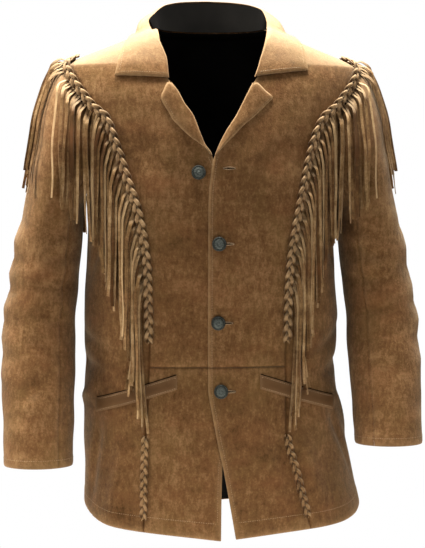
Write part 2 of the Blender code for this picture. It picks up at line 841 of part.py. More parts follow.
def make_braids():
    for side in SIDES:
        make_braid(f"braid_{side}", side, even_route(braid_route(side, UPPER_BRAID_END_Z), BRAID_STEP))
        low = [(SIDES[side] * princess(side, z), z) for z in spread(*LOWER_BRAID_Z, 16)]
        low = [(angle, level(z, angle)) for angle, z in low]
        make_braid(f"braid_low_{side}", side, even_route(low, BRAID_STEP))


def wobble(number, amount):
    """A fixed uneven value for a strand, from -amount to amount."""
    return amount * math.sin(12.9898 * number + 4.1) * math.cos(7.233 * number)


def strand_length(z, front):
    """Strands are longest down the chest and shorter again at the bottom of the braid."""
    if not front:
        return STRAND_BACK
    chest = STRAND_CHEST * smooth((-0.130 - z) / 0.080)
    return STRAND_FRONT + chest - STRAND_LOW * smooth((-0.400 - z) / 0.080)


def corner_shares(z):
    """Where a strand may bend: the ones from the shoulder bend more often, over the sleeve head."""
    if z > -0.115:
        return (0.05, 0.15, 0.40, 1.0)
    return (0.15, 0.45, 1.0) if z > -0.2 else (0.15, 1.0)


def cover(tree, point, normal):
    """How far the outermost wall stands above this point along the normal."""
    place = tree.ray_cast(point + normal * 0.06, -normal, 0.10)[0]
    return (place - point).dot(normal) if place else 0.0


def strand_start(tree, side, even, n, root, layer):
    """Which way strand n faces and spreads, and its first knot, where it bends down from the strip."""
    normal = torso_slopes(*even[n])[2]
    along, outer_way = travel(side, even, n)
    over_cap = smooth((root.z + 0.125) / 0.035)
    sideways = Vector((SIDES[side], 0, 0))
    facing = flat(flat(normal).lerp(sideways, over_cap))
    across = Vector((0, 0, 1)).cross(facing)
    if across.dot(along) < 0:
        across = -across
    sideways -= normal * sideways.dot(normal)
    outer_way = outer_way.lerp(sideways.normalized(), over_cap).normalized()
    spot = root + outer_way * (KNOT_OUT + 0.0085 * over_cap)
    spot.z -= KNOT_DOWN - 0.003 * over_cap
    need = 0.0
    for share, extra in (*((n / 10, 0.0) for n in range(1, 10)), (1.0, layer)):
        for slip in (-0.0035, 0.0, 0.0035):
            over = cover(tree, root.lerp(spot, share) + along * slip, normal)
            need = max(need, (over + (STRAND_CLEAR + 0.0020 * over_cap) * share + extra) / share)
    knot = spot + normal * need
    run = (knot - root).normalized()
    wide = normal.cross(run).normalized()
    if wide.dot(along) < 0:
        wide = -wide
    front = wide.cross(run).normalized()
    return facing, across, knot, wide, front if front.dot(normal) > 0 else -front


def hang(tree, knot, facing, across, length, sideways, layer, shares):
    """Centre points of one strand as it hangs: outside everything under it, and never back in."""
    fine = 40
    outs = []
    farthest = 0.0
    for n in range(1, fine + 1):
        drop = length * n / fine
        shift = -across * sideways * smooth(drop / 0.025)
        for edge in (-1.6, -0.8, 0.0, 0.8, 1.6):
            start = knot + shift + across * edge * STRAND_WIDTH + facing * RAY - Vector((0, 0, drop))
            place, normal, _, _ = tree.ray_cast(start, -facing, RAY + 0.06)
            if place:
                clear = STRAND_CLEAR / max(0.4, normal.dot(facing)) + layer
                farthest = max(farthest, (place - knot).dot(facing) + clear)
        outs.append(farthest)
    marks = [0, *[round(fine * share) for share in shares]]
    levels = [0.0, *[outs[k - 1] for k in marks[1:]]]
    for a in range(len(marks) - 1):
        for k in range(marks[a] + 1, marks[a + 1]):
            t = (k - marks[a]) / (marks[a + 1] - marks[a])
            short = outs[k - 1] - (levels[a] * (1 - t) + levels[a + 1] * t)
            if short > 0:
                levels[a + 1] += short / max(t, 0.3)
                if a > 0:
                    levels[a] += short * 0.5
    points = []
    for k, out in zip(marks[1:], levels[1:]):
        drop = length * k / fine
        shift = -across * sideways * smooth(drop / 0.025)
        points.append(knot + shift + facing * out - Vector((0, 0, drop)))
    return points


def side_shifts(side, even, turn_back):
    """How far each strand swings outwards, so that strands from the steep seam lie beside each other."""
    count = len(even) - 1
    shifts = [0.0] * count
    shifts[-1] = 0.002
    for n in range(count - 2, turn_back, -1):
        ahead = torso(*even[n + 1]) - torso(*even[n])
        normal = torso_slopes(*even[n])[2]
        step = ahead.dot(flat(ahead - normal * ahead.dot(normal)))
        wanted = LEAST_SPACING if step < LEAST_SPACING else min(step, CLEAR_SPACING)
        shifts[n] = max(0.0, shifts[n + 1] + wanted - step)
    return [shift * smooth((-0.100 - z) / 0.050) for shift, (_, z) in zip(shifts, even)]


def strand_ring(mesh, centre, wide, front):
    """Three corners of a strand: flat behind, with a low ridge in front."""
    half = wide * STRAND_WIDTH / 2
    return [mesh.verts.new(p) for p in (centre - half, centre + half, centre + front * STRAND_THICK)]


def strip_corners(tree, side, even, n):
    """Four corners of the backing strip at point n, just clear of whatever lies under it."""
    near = BRAID_WIDTH / 2 + STRIP_GAP
    far = near + STRIP_WIDTH
    normal = torso_slopes(*even[n])[2]
    along = travel(side, even, n)[0]
    height = max(
        cover(tree, beside(side, even, n, off, 0.0) + along * STRAND_PITCH * slip, normal)
        for off in (near, (near + far) / 2, far, far + 0.003)
        for slip in (-1.0, -0.5, 0.0, 0.5, 1.0)
    )
    tip = STRIP_TIP_LIFT * smooth((even[n][1] + 0.085) / 0.020)
    spots = [beside(side, even, n, off, max(0.0, height) + BRAID_LOW + tip) for off in (near, far)]
    lift = normal * STRIP_THICK
    return (spots[0] + lift, spots[0], spots[1], spots[1] + lift)


def join_strand(mesh, a, b, ring):
    """Faces between one step of the strip and the first ring of the strand that is cut from it."""
    for k in (0, 1, 3):
        mesh.faces.new((a[k], a[(k + 1) % 4], b[(k + 1) % 4], b[k]))
    for corner in ((a[3], a[2], ring[0]), (b[2], b[3], ring[1]), (b[3], a[3], ring[2])):
        mesh.faces.new(corner)
    mesh.faces.new((a[2], b[2], ring[1], ring[0]))
    mesh.faces.new((b[3], ring[2], ring[1]))
    mesh.faces.new((a[3], ring[0], ring[2]))


def make_fringe(side, even, tree):
    """A narrow strip along the outer edge of the braid, cut below into hanging strands."""
    mesh = bmesh.new()
    corners = [
        [mesh.verts.new(p) for p in strip_corners(tree, side, even, n)] for n in range(len(even))
    ]
    turn_back = min(range(len(even)), key=lambda n: abs(abs(even[n][0]) - 90.0))
    shifts = side_shifts(side, even, turn_back)
    for n in range(len(even) - 1):
        a, b = corners[n], corners[n + 1]
        root = (a[2].co + b[2].co) / 2
        length = strand_length(root.z, n >= turn_back) * (1 + wobble(n, STRAND_UNEVEN))
        layer = LAYER_STEP * (n % LAYERS)
        facing, across, knot, wide, front = strand_start(tree, side, even, n, root, layer)
        ring = strand_ring(mesh, knot, wide, front)
        join_strand(mesh, a, b, ring)
        shares = corner_shares(root.z)
        for centre in hang(tree, knot, facing, across, length, shifts[n], layer, shares):
            after = strand_ring(mesh, centre, across, facing)
            for k in range(3):
                mesh.faces.new((ring[k], ring[(k + 1) % 3], after[(k + 1) % 3], after[k]))
            ring = after
        mesh.faces.new(ring)
    mesh.faces.new(corners[0])
    mesh.faces.new(corners[-1])
    return lay(mesh, f"fringe_{side}", "fringe")


def make_fringes():
    kinds = ("front_", "back_", "sleeve_", "pocket_")
    tree = surface_tree([o.name for o in bpy.context.scene.objects if o.name.startswith(kinds)])
    for side in SIDES:
        make_fringe(side, even_route(braid_route(side, FRINGE_END_Z)[2:], STRAND_PITCH), tree)


def material(name, colour, roughness, metallic=0.0):
    made = bpy.data.materials.new(name)
    made.use_nodes = True
    shader = made.node_tree.nodes["Principled BSDF"]
    shader.inputs["Base Color"].default_value = (*colour, 1.0)
    shader.inputs["Roughness"].default_value = roughness
    shader.inputs["Metallic"].default_value = metallic
    return made


for leftover in list(bpy.data.objects):
    bpy.data.objects.remove(leftover)
MATERIALS = {
    "suede": material("suede", (0.30, 0.175, 0.085), 0.95),
    "fringe": material("fringe", (0.36, 0.22, 0.11), 0.92),
    "welt": material("pocket leather", (0.20, 0.11, 0.05), 0.75),
    "lining": material("lining", (0.010, 0.010, 0.010), 0.55),
    "metal": material("button metal", (0.085, 0.090, 0.085), 0.45, 0.8),
}
make_fronts()
make_back()
make_lining()
make_sleeves()
make_collar()
make_stand()
make_lapels()
make_pockets()
make_buttons()
make_braids()
make_fringes()
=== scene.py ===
"""The looks of a hollow suede western jacket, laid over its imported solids.

Metres, +Z up, in the part's own frame. The jacket faces -Y, its own left side is at +X, and the origin lies
midway between the two points where the shoulder seams meet the neck. Angles go round the torso in degrees:
0 is the centre front, 90 the left side, 180 the centre back and -90 the right side.
"""

import math
from functools import lru_cache

import bmesh
import bpy
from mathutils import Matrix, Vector
from mathutils.bvhtree import BVHTree


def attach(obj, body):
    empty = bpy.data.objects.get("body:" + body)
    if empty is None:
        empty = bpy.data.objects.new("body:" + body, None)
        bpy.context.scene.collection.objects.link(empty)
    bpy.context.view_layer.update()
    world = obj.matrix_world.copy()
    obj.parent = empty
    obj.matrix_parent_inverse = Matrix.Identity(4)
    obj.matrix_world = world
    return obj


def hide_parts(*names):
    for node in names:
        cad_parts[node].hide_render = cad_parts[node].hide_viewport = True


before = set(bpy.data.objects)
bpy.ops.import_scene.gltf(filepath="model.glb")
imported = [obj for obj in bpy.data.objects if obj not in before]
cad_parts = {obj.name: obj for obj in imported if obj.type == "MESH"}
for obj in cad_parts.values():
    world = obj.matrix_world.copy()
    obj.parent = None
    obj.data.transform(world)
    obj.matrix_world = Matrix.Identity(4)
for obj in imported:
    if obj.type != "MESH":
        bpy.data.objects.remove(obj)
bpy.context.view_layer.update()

# Cloth
SUEDE = 0.0020
LINING = 0.0008
SEAM_GAP = 0.0003
LAID_GAP = 0.0007
UNDERLAP = 0.0028
LINING_DEPTH = 0.0048
LINING_INSET = 3.0
SEAM_DIP = 0.0011
DEEPEST_DIP = -1.3 * SEAM_DIP
SEAM_UNDER = 0.0009
SEAM_SPREAD = 0.0020
TURN_UP = 0.0006
HEM_BAND = 0.024
CUFF_BAND = 0.012
EDGE_BAND = 0.006

# How finely the cloth is laid out
STEP = 0.0062
EDGE_INSETS = (0.0012, 0.0026, 0.0045)
NARROW = 0.030

# Lengths down from the origin
SHOULDER_TIP_Z = -0.062
SIDE_TOP_Z = -0.122
BRAIDED_SEAM_TOP_Z = -0.114
YOKE_END_Z = -0.193
WAIST_Z = -0.528
SKIRT_Z = -0.620
HEM_ROW = -0.780

# Armhole, as an ellipse on the torso surface
ARMHOLE_Z = -0.165
ARMHOLE_RISE = 0.103
ARMHOLE_FRONT = 34.0
ARMHOLE_BACK = 32.0
ARMHOLE_SEAM = 0.7
ARMHOLE_SEAM_OUT = 0.0014

# Sleeves
SLEEVE_WALL = 0.0018
SLEEVE_SIDES = 100
CAP_ROWS = 20
SLEEVE_LAP = 0.0025
SLEEVE_TOP_Z = -0.285
SLEEVE_SECOND_Z = -0.300
CAP_LEAVE = 0.75
CAP_ARRIVE = 0.85
CAP_SWELL = 0.7
CUFF_Z = {"left": -0.655, "right": -0.682}

# Plaits and fringe
BRAID_TIP_LIFT = 0.0022
BRAID_HOLE_OFF = (5.0, 0.0115)
UPPER_BRAID_END_Z = -0.492
LOWER_BRAID_Z = (-0.632, -0.762)
THONG_WIDTH = 0.0060
THONG_THICK = 0.0028
PLAIT_SWING = 0.0046
PLAIT_RISE = 0.0017
PLAIT_PERIOD = 0.049
PLAIT_MIDDLE = 0.0034
PLAIT_STEP = 0.0022
PLAIT_SIDES = 10
STRIP_NEAR = 0.0030
STRIP_FAR = 0.0080
STRIP_THICK = 0.0008
STRIP_TIP_LIFT = 0.0010
STRIP_OFF = 0.0003
# The backing strip is coloured darker, as painted shade in the gaps of the plait
STRIP_PAINTED_SHADE = -0.9
STRAND_PITCH = 0.0061
STRAND_WIDTH = 0.0050
STRAND_THICK = 0.0014
STRAND_CLEAR = 0.0013
STRAND_BACK = 0.185
STRAND_FRONT = 0.176
STRAND_CHEST = 0.022
STRAND_LOW = 0.032
STRAND_UNEVEN = 0.08
LAYER_STEP = 0.0014
LAYERS = 7
LEAST_SPACING = 0.0008
CLEAR_SPACING = 0.0040
KNOT_OUT = 0.0034
KNOT_DOWN = 0.0090
TIP_Z = (-0.088, -0.068)
WEDGE = (0.10, 0.80)
CROWDED = 0.0075
RAY = 0.25
FRINGE_END_Z = -0.488

# Collar, buttons and pockets
COLLAR_THICK = 0.0025
COLLAR_GAP = 0.0013
COLLAR_SIDE_GAP = 0.0016
COLLAR_ARCH = 0.006
FOLD_RADIUS = 0.0026
FOLD_WALL = 0.0014
LAPEL_TOP_Z = -0.0930
LAPEL_END_Z = -0.2030
LAPEL_GRID_LENGTH = 0.1100
# Turns round the rolled front edge, and shares of the way from there to the lapel's own edge
LAPEL_TURNS = (-78, -50, -22, 6, 34, 62)
LAPEL_SHARES = (0.0, 0.08, 0.2, 0.32, 0.44, 0.56, 0.68, 0.8, 0.88, 0.93, 0.97, 0.99, 1.0)
STAND_END = 0.57
STAND_HEIGHT = 0.94
STAND_THICK = 0.0018
STAND_INSET = 0.0030
STAND_GAP = 0.0008
BUTTON_RADIUS = 0.011
POCKET_INNER = (0.064, -0.5395)
POCKET_OUTER = (0.186, -0.579)
WELT_HEIGHT = 0.022
WELT_STITCH_INSET = 0.0028
MOUTH_DROPS = (-0.0014, -0.0008, -0.0002)

# Patches in the suede's dye
RED_PATCH = (0.170, 0.066, 0.026)
OLIVE_PATCH = (0.135, 0.085, 0.028)
# Suede that faces up is painted paler, as painted light from above
TOP_LIGHT_COLOUR = (0.400, 0.315, 0.205)
TOP_LIGHT_SHARE = 0.50

# Sewing
STITCH_PITCH = 0.0036
STITCH_LENGTH = 0.0026
STITCH_RADIUS = 0.0004
FRONT_STITCHES_Z = (-0.206, -0.776)
STITCH_OUT = (-0.0002, 0.0001, -0.0002)

# The photograph's camera: pixels of its frame, and where it stands
PHOTO_HEIGHT = 548
CAMERA_TURN = -5.5
CAMERA_AWAY = 2.6
CAMERA_Z = -0.272
CAMERA_LENS = 106.75
EYE_ROW = 200
FOCAL_PIXELS = 1625
SHIFT_PIXELS = 1.5
FLOOR_Z = -1.06
SURROUND = 0.275

SIDES = {"left": 1, "right": -1}


class Table:
    """Rows with named columns, read smoothly and without overshoot along the first column."""

    def __init__(self, names, rows):
        self.names = names.split()
        rows = sorted(rows)
        self.keys = [row[0] for row in rows]
        self.columns = {}
        for number, name in enumerate(self.names):
            values = [row[number] for row in rows]
            self.columns[name] = (values, self.slopes(values))

    def slopes(self, values):
        """Slope at each row: the harmonic mean of its two neighbours' slopes, or 0 at a turn."""
        steps = [
            (values[i + 1] - values[i]) / (self.keys[i + 1] - self.keys[i])
            for i in range(len(values) - 1)
        ]
        inner = [
            2 * a * b / (a + b) if a * b > 0 else 0.0 for a, b in zip(steps, steps[1:])
        ]
        return [steps[0], *inner, steps[-1]]

    def at(self, name, key):
        values, slopes = self.columns[name]
        if key <= self.keys[0]:
            return values[0]
        if key >= self.keys[-1]:
            return values[-1]
        i = next(n for n in range(len(self.keys) - 1) if key <= self.keys[n + 1])
        width = self.keys[i + 1] - self.keys[i]
        t = (key - self.keys[i]) / width
        return (
            (1 + 2 * t) * (1 - t) ** 2 * values[i]
            + t * (1 - t) ** 2 * width * slopes[i]
            + t * t * (3 - 2 * t) * values[i + 1]
            + t * t * (t - 1) * width * slopes[i + 1]
        )


# Half-widths to the left and right, depths to the front and back, and how square the section is
TORSO = Table(
    "z left right front back square",
    (
        (0.000, 0.087, 0.087, 0.060, 0.070, 0.02),
        (-0.010, 0.113, 0.113, 0.070, 0.086, 0.02),
        (-0.030, 0.162, 0.162, 0.083, 0.104, 0.02),
        (-0.050, 0.211, 0.211, 0.092, 0.113, 0.02),
        (-0.064, 0.236, 0.236, 0.098, 0.117, 0.03),
        (-0.085, 0.239, 0.239, 0.105, 0.121, 0.04),
        (-0.115, 0.234, 0.234, 0.113, 0.125, 0.05),
        (-0.207, 0.210, 0.210, 0.127, 0.127, 0.06),
        (-0.270, 0.199, 0.199, 0.130, 0.124, 0.07),
        (-0.340, 0.196, 0.197, 0.130, 0.118, 0.07),
        (-0.470, 0.202, 0.203, 0.126, 0.112, 0.07),
        (-0.530, 0.199, 0.201, 0.126, 0.113, 0.06),
        (-0.600, 0.206, 0.203, 0.131, 0.119, 0.06),
        (-0.680, 0.222, 0.203, 0.138, 0.126, 0.05),
        (-0.800, 0.249, 0.204, 0.147, 0.132, 0.05),
    ),
)
HEM = Table(
    "angle z",
    (
        (0, -0.792),
        (25, -0.782),
        (50, -0.775),
        (75, -0.761),
        (95, -0.750),
        (130, -0.766),
        (180, -0.781),
    ),
)
# The free or turned edge of each front, as x: neck seam, roll line, then front edge
FRONT_EDGE = Table(
    "z left right",
    (
        (0.000, 0.0862, -0.0862),
        (-0.010, 0.0840, -0.0855),
        (-0.030, 0.0785, -0.0840),
        (-0.060, 0.0690, -0.0800),
        (-0.080, 0.0610, -0.0765),
        (-0.092, 0.0541, -0.0705),
        (-0.105, 0.0470, -0.0610),
        (-0.125, 0.0365, -0.0505),
        (-0.142, 0.0275, -0.0385),
        (-0.168, 0.0105, -0.0285),
        (-0.187, 0.0005, -0.0205),
        (-0.200, -0.0050, -0.0112),
        (-0.212, -0.0090, -0.0078),
        (-0.225, -0.0110, 0.0000),
        (-0.255, -0.0150, 0.0080),
        (-0.300, -0.0166, 0.0160),
        (-0.560, -0.0166, 0.0166),
        (-0.600, -0.0106, 0.0166),
        (-0.640, -0.0030, 0.0120),
        (-0.680, 0.0060, 0.0045),
        (-0.790, 0.0257, 0.0015),
    ),
)
# The braided seam down each front, as a distance from the centre front
PRINCESS = Table(
    "z left right",
    (
        (-0.112, 0.212, 0.214),
        (-0.122, 0.194, 0.197),
        (-0.140, 0.169, 0.173),
        (-0.180, 0.149, 0.156),
        (-0.226, 0.137, 0.142),
        (-0.290, 0.123, 0.122),
        (-0.370, 0.111, 0.109),
        (-0.480, 0.105, 0.105),
        (-0.623, 0.105, 0.111),
        (-0.700, 0.122, 0.114),
        (-0.790, 0.146, 0.116),
    ),
)
# The lower edge of the back yoke
BACK_YOKE = Table(
    "z angle",
    (
        (-0.118, 118.5),
        (-0.135, 130.0),
        (-0.155, 142.0),
        (-0.175, 156.0),
        (-0.190, 170.0),
        (-0.196, 180.0),
    ),
)
# Sleeve sections below the cap: centre, half-width and half-depth of the outer face
SLEEVE = Table(
    "z x y wide deep",
    (
        (-0.285, 0.2510, 0.000, 0.0470, 0.072),
        (-0.336, 0.2580, -0.001, 0.0530, 0.068),
        (-0.400, 0.2660, -0.006, 0.0545, 0.064),
        (-0.470, 0.2740, -0.016, 0.0570, 0.060),
        (-0.530, 0.2750, -0.030, 0.0575, 0.057),
        (-0.600, 0.2755, -0.050, 0.0555, 0.053),
        (-0.680, 0.2755, -0.070, 0.0530, 0.049),
    ),
)
# Collar, from the centre back to the notch: neck seam on the torso, roll line and outer edge
COLLAR_COLUMNS = "part turn drop roll_x roll_y roll_z edge_x edge_y edge_z"
COLLAR = {
    "left": Table(
        COLLAR_COLUMNS,
        (
            (0.00, 180.0, 0.000, 0.0000, 0.0800, 0.052, 0.0000, 0.1120, -0.010),
            (0.15, 152.0, 0.000, 0.0370, 0.0740, 0.050, 0.0480, 0.1060, -0.012),
            (0.30, 126.0, 0.000, 0.0680, 0.0550, 0.044, 0.0900, 0.0800, -0.013),
            (0.45, 104.0, 0.000, 0.0880, 0.0220, 0.031, 0.1180, 0.0280, -0.012),
            (0.60, 88.0, -0.004, 0.0900, -0.0150, 0.010, 0.1280, -0.0250, -0.027),
            (0.75, 74.0, -0.033, 0.0775, -0.0540, -0.030, 0.1340, -0.0500, -0.043),
            (0.90, 60.0, -0.066, 0.0655, -0.0800, -0.066, 0.1385, -0.0680, -0.060),
            (1.00, 50.0, -0.084, 0.0580, -0.0950, -0.085, 0.1405, -0.0800, -0.074),
        ),
    ),
    "right": Table(
        COLLAR_COLUMNS,
        (
            (0.00, 180.0, 0.000, 0.0000, 0.0800, 0.052, 0.0000, 0.1120, -0.010),
            (0.15, 152.0, 0.000, 0.0370, 0.0740, 0.050, 0.0480, 0.1060, -0.012),
            (0.30, 126.0, 0.000, 0.0690, 0.0560, 0.043, 0.0880, 0.0800, -0.013),
            (0.45, 104.0, 0.000, 0.0900, 0.0250, 0.027, 0.1130, 0.0280, -0.011),
            (0.60, 88.0, -0.004, 0.1020, -0.0120, 0.008, 0.1260, -0.0250, -0.028),
            (0.75, 74.0, -0.033, 0.0860, -0.0540, -0.032, 0.1370, -0.0500, -0.047),
            (0.90, 60.0, -0.066, 0.0755, -0.0790, -0.067, 0.1480, -0.0680, -0.068),
            (1.00, 50.0, -0.086, 0.0745, -0.0930, -0.088, 0.1550, -0.0800, -0.083),
        ),
    ),
}
# Lapels, from the notch down to the break: how far the outer edge stands from the roll line
LAPEL = Table(
    "z left right",
    (
        (-0.0930, 0.0090, 0.0070),
        (-0.1040, 0.0255, 0.0210),
        (-0.1165, 0.0435, 0.0320),
        (-0.1250, 0.0395, 0.0335),
        (-0.1460, 0.0290, 0.0355),
        (-0.1600, 0.0215, 0.0285),
        (-0.1750, 0.0165, 0.0190),
        (-0.1900, 0.0085, 0.0055),
        (-0.2030, 0.0040, 0.0020),
    ),
)
# Creases on the body. Each runs from one angle and height to another; depth below 0 is a trough
BODY_CREASES = (
    # angle, z, angle, z, half-width, depth
    (22, -0.600, 30, -0.730, 0.013, -0.0030),
    (34, -0.620, 40, -0.760, 0.016, 0.0030),
    (-20, -0.610, -24, -0.745, 0.014, -0.0028),
    (-42, -0.640, -50, -0.770, 0.017, 0.0032),
    (-58, -0.610, -70, -0.740, 0.013, -0.0034),
    (56, -0.600, 74, -0.700, 0.012, -0.0036),
    (66, -0.570, 88, -0.650, 0.011, 0.0028),
    (48, -0.505, 84, -0.470, 0.010, -0.0030),
    (52, -0.545, 92, -0.520, 0.011, -0.0034),
    (-50, -0.505, -86, -0.480, 0.010, -0.0030),
    (-54, -0.535, -94, -0.525, 0.011, -0.0032),
    (-60, -0.560, -98, -0.590, 0.010, 0.0026),
    (54, -0.300, 72, -0.390, 0.012, -0.0026),
    (-52, -0.290, -70, -0.380, 0.012, -0.0026),
    (14, -0.250, 24, -0.420, 0.020, -0.0012),
    (-10, -0.300, -20, -0.440, 0.018, 0.0012),
    (-26, -0.350, -12, -0.480, 0.016, -0.0013),
    (28, -0.180, 12, -0.270, 0.014, -0.0016),
    (-34, -0.170, -16, -0.260, 0.014, -0.0016),
    (118, -0.240, 140, -0.330, 0.014, -0.0034),
    (-116, -0.235, -138, -0.345, 0.014, -0.0034),
    (130, -0.280, 150, -0.420, 0.018, 0.0030),
    (-132, -0.270, -152, -0.400, 0.018, 0.0030),
    (110, -0.490, 165, -0.505, 0.011, -0.0034),
    (-112, -0.500, -158, -0.485, 0.011, -0.0034),
    (120, -0.530, 176, -0.545, 0.012, -0.0030),
    (-126, -0.540, -172, -0.530, 0.012, -0.0032),
    (140, -0.600, 146, -0.740, 0.017, -0.0034),
    (-142, -0.590, -150, -0.750, 0.017, -0.0034),
    (164, -0.610, 168, -0.760, 0.016, 0.0030),
    (-168, -0.600, -166, -0.740, 0.016, 0.0028),
    (112, -0.620, 120, -0.750, 0.015, -0.0036),
    (-114, -0.630, -118, -0.740, 0.015, -0.0034),
)
# Creases on the sleeves. A turn of -90 is the underarm side, 0 the front, 90 the outside, 180 the back
SLEEVE_CREASES = {
    "left": (
        # turn, z, turn, z, half-width, depth
        (-60, -0.300, -8, -0.330, 0.009, -0.0044),
        (-66, -0.345, 10, -0.362, 0.008, -0.0052),
        (-58, -0.372, 26, -0.378, 0.008, 0.0036),
        (-70, -0.395, 22, -0.398, 0.008, -0.0058),
        (-64, -0.420, 30, -0.424, 0.009, 0.0042),
        (-66, -0.450, 16, -0.444, 0.008, -0.0054),
        (-50, -0.500, 24, -0.478, 0.009, -0.0044),
        (34, -0.318, 116, -0.306, 0.010, -0.0034),
        (40, -0.352, 120, -0.340, 0.009, 0.0026),
        (30, -0.380, 112, -0.374, 0.009, -0.0036),
        (46, -0.410, 126, -0.402, 0.009, 0.0030),
        (28, -0.436, 106, -0.434, 0.008, -0.0040),
        (44, -0.466, 122, -0.458, 0.009, 0.0032),
        (22, -0.496, 98, -0.488, 0.009, -0.0036),
        (36, -0.528, 110, -0.520, 0.010, 0.0026),
        (-20, -0.520, 46, -0.552, 0.012, -0.0036),
        (0, -0.580, 76, -0.594, 0.012, -0.0028),
        (130, -0.396, 214, -0.404, 0.009, -0.0042),
        (126, -0.430, 206, -0.440, 0.009, 0.0036),
        (120, -0.462, 210, -0.468, 0.009, -0.0048),
        (130, -0.500, 196, -0.506, 0.010, 0.0032),
        (126, -0.530, 200, -0.540, 0.010, -0.0036),
        (96, -0.300, 120, -0.380, 0.014, -0.0034),
        (150, -0.320, 172, -0.372, 0.013, 0.0030),
        (-60, -0.560, -30, -0.630, 0.011, -0.0030),
    ),
    "right": (
        (-58, -0.310, -4, -0.334, 0.009, -0.0044),
        (-68, -0.356, 8, -0.362, 0.008, -0.0052),
        (-62, -0.380, 16, -0.384, 0.008, 0.0034),
        (-62, -0.402, 20, -0.410, 0.009, -0.0056),
        (-68, -0.432, 14, -0.434, 0.009, 0.0040),
        (-60, -0.466, 22, -0.454, 0.008, -0.0052),
        (-52, -0.516, 28, -0.496, 0.010, -0.0044),
        (30, -0.312, 112, -0.300, 0.010, -0.0034),
        (38, -0.344, 118, -0.330, 0.008, 0.0036),
        (28, -0.368, 124, -0.358, 0.008, -0.0046),
        (42, -0.392, 126, -0.384, 0.008, 0.0044),
        (30, -0.416, 118, -0.408, 0.008, -0.0050),
        (46, -0.442, 130, -0.436, 0.008, 0.0042),
        (24, -0.466, 116, -0.460, 0.008, -0.0048),
        (40, -0.494, 124, -0.484, 0.009, 0.0036),
        (20, -0.520, 104, -0.512, 0.009, -0.0040),
        (38, -0.552, 112, -0.540, 0.010, 0.0028),
        (-16, -0.550, 44, -0.588, 0.012, -0.0036),
        (6, -0.606, 80, -0.616, 0.012, -0.0028),
        (128, -0.404, 212, -0.414, 0.009, -0.0042),
        (124, -0.438, 208, -0.450, 0.009, 0.0036),
        (118, -0.472, 208, -0.480, 0.009, -0.0048),
        (128, -0.512, 198, -0.518, 0.010, 0.0032),
        (124, -0.544, 196, -0.554, 0.010, -0.0036),
        (100, -0.304, 122, -0.390, 0.014, -0.0034),
        (148, -0.330, 172, -0.380, 0.013, 0.0030),
        (-62, -0.580, -28, -0.650, 0.011, -0.0030),
    ),
}
BODY_DEPTH = 1.6
SLEEVE_DEPTH = 0.48
METRES_A_DEGREE = 0.0031
SLEEVE_METRES_A_DEGREE = 0.0011

# Buttons: name, x, z and how far out of the torso surface their backs lie
BUTTONS = (
    ("button_top", -0.031, -0.230, -0.0016),
    ("button_chest", 0.000, -0.339, 0.0005),
    ("button_middle", -0.001, -0.460, 0.0005),
    ("button_low", 0.003, -0.565, 0.0005),
)
# Half-width and half-thickness of one thread turn round a buttonhole, along its length
THREAD_BEAD = ((0.0005, 0.0004), (0.0010, 0.0008), (0.0005, 0.0004))
# Buttonholes: name, x and z of the inner end, and the slit's length
BUTTONHOLES = (
    ("buttonhole_top", 0.007, -0.224, 0.017),
    ("buttonhole_chest", 0.004, -0.339, 0.018),
    ("buttonhole_middle", 0.003, -0.460, 0.018),
    ("buttonhole_low", 0.007, -0.565, 0.018),
)


def smooth(t):
    t = min(1.0, max(0.0, t))
    return t * t * (3 - 2 * t)


def spread(low, high, steps):
    return [low + (high - low) * n / steps for n in range(steps + 1)]


def wobble(number, amount):
    """A fixed uneven value for a strand, from -amount to amount."""
    return amount * math.sin(12.9898 * number + 4.1) * math.cos(7.233 * number)


def crease_depth(creases, across, z, metres):
    """Height of all creases at a place, where across is an angle and metres is one degree's length."""
    total = 0.0
    for angle_a, z_a, angle_b, z_b, half, depth in creases:
        run_u, run_z = (angle_b - angle_a) * metres, z_b - z_a
        off_u, off_z = ((across - angle_a + 180) % 360 - 180) * metres, z - z_a
        t = (off_u * run_u + off_z * run_z) / (run_u * run_u + run_z * run_z)
        t = min(1.0, max(0.0, t))
        gap = (off_u - t * run_u) ** 2 + (off_z - t * run_z) ** 2
        if gap < 9 * half * half:
            fade = 1 - 0.75 * abs(2 * t - 1) ** 3
            total += depth * fade * math.exp(-gap / (half * half))
    return total


@lru_cache(maxsize=None)
def torso(angle, z):
    """The point of the torso surface at this angle and height."""
    turn = math.radians(angle)
    across, ahead = math.sin(turn), math.cos(turn)
    bulge = 1 + TORSO.at("square", z) * math.sin(2 * turn) ** 2
    half = TORSO.at("left" if across > 0 else "right", z)
    deep = TORSO.at("front" if ahead > 0 else "back", z)
    return Vector((half * across * bulge, -deep * ahead * bulge, z))


@lru_cache(maxsize=None)
def torso_slopes(angle, z):
    """How the surface moves for each degree and each metre of height, and its outward normal."""
    low, high = z - 0.002, min(z + 0.002, 0.0)
    round_it = torso(angle + 0.5, z) - torso(angle - 0.5, z)
    up = (torso(angle, high) - torso(angle, low)) / (high - low)
    return round_it, up, round_it.cross(up).normalized()


def normal_at(angle, z):
    return torso_slopes(angle, z)[2]


@lru_cache(maxsize=None)
def drape(angle, z):
    """How far the worn cloth stands off the plain torso surface: creases, and slow uneven waves."""
    turn = math.radians(angle)
    free = smooth((-0.10 - z) / 0.10)
    waves = math.sin(7 * turn + 31 * z) + 0.7 * math.sin(11 * turn - 47 * z + 1.3)
    waves += 0.6 * math.sin(5 * turn + 83 * z + 0.6)
    return free * (0.0006 * waves + BODY_DEPTH * crease_depth(BODY_CREASES, angle, z, METRES_A_DEGREE))


def skin(angle, z, out=0.0):
    return torso(angle, z) + normal_at(angle, z) * (out + drape(angle, z))


@lru_cache(maxsize=None)
def angle_at(z, x):
    """The angle on the front where the torso surface has this x."""
    low, high = -90.0, 90.0
    for _ in range(34):
        middle = (low + high) / 2
        if torso(middle, z).x < x:
            low = middle
        else:
            high = middle
    return (low + high) / 2


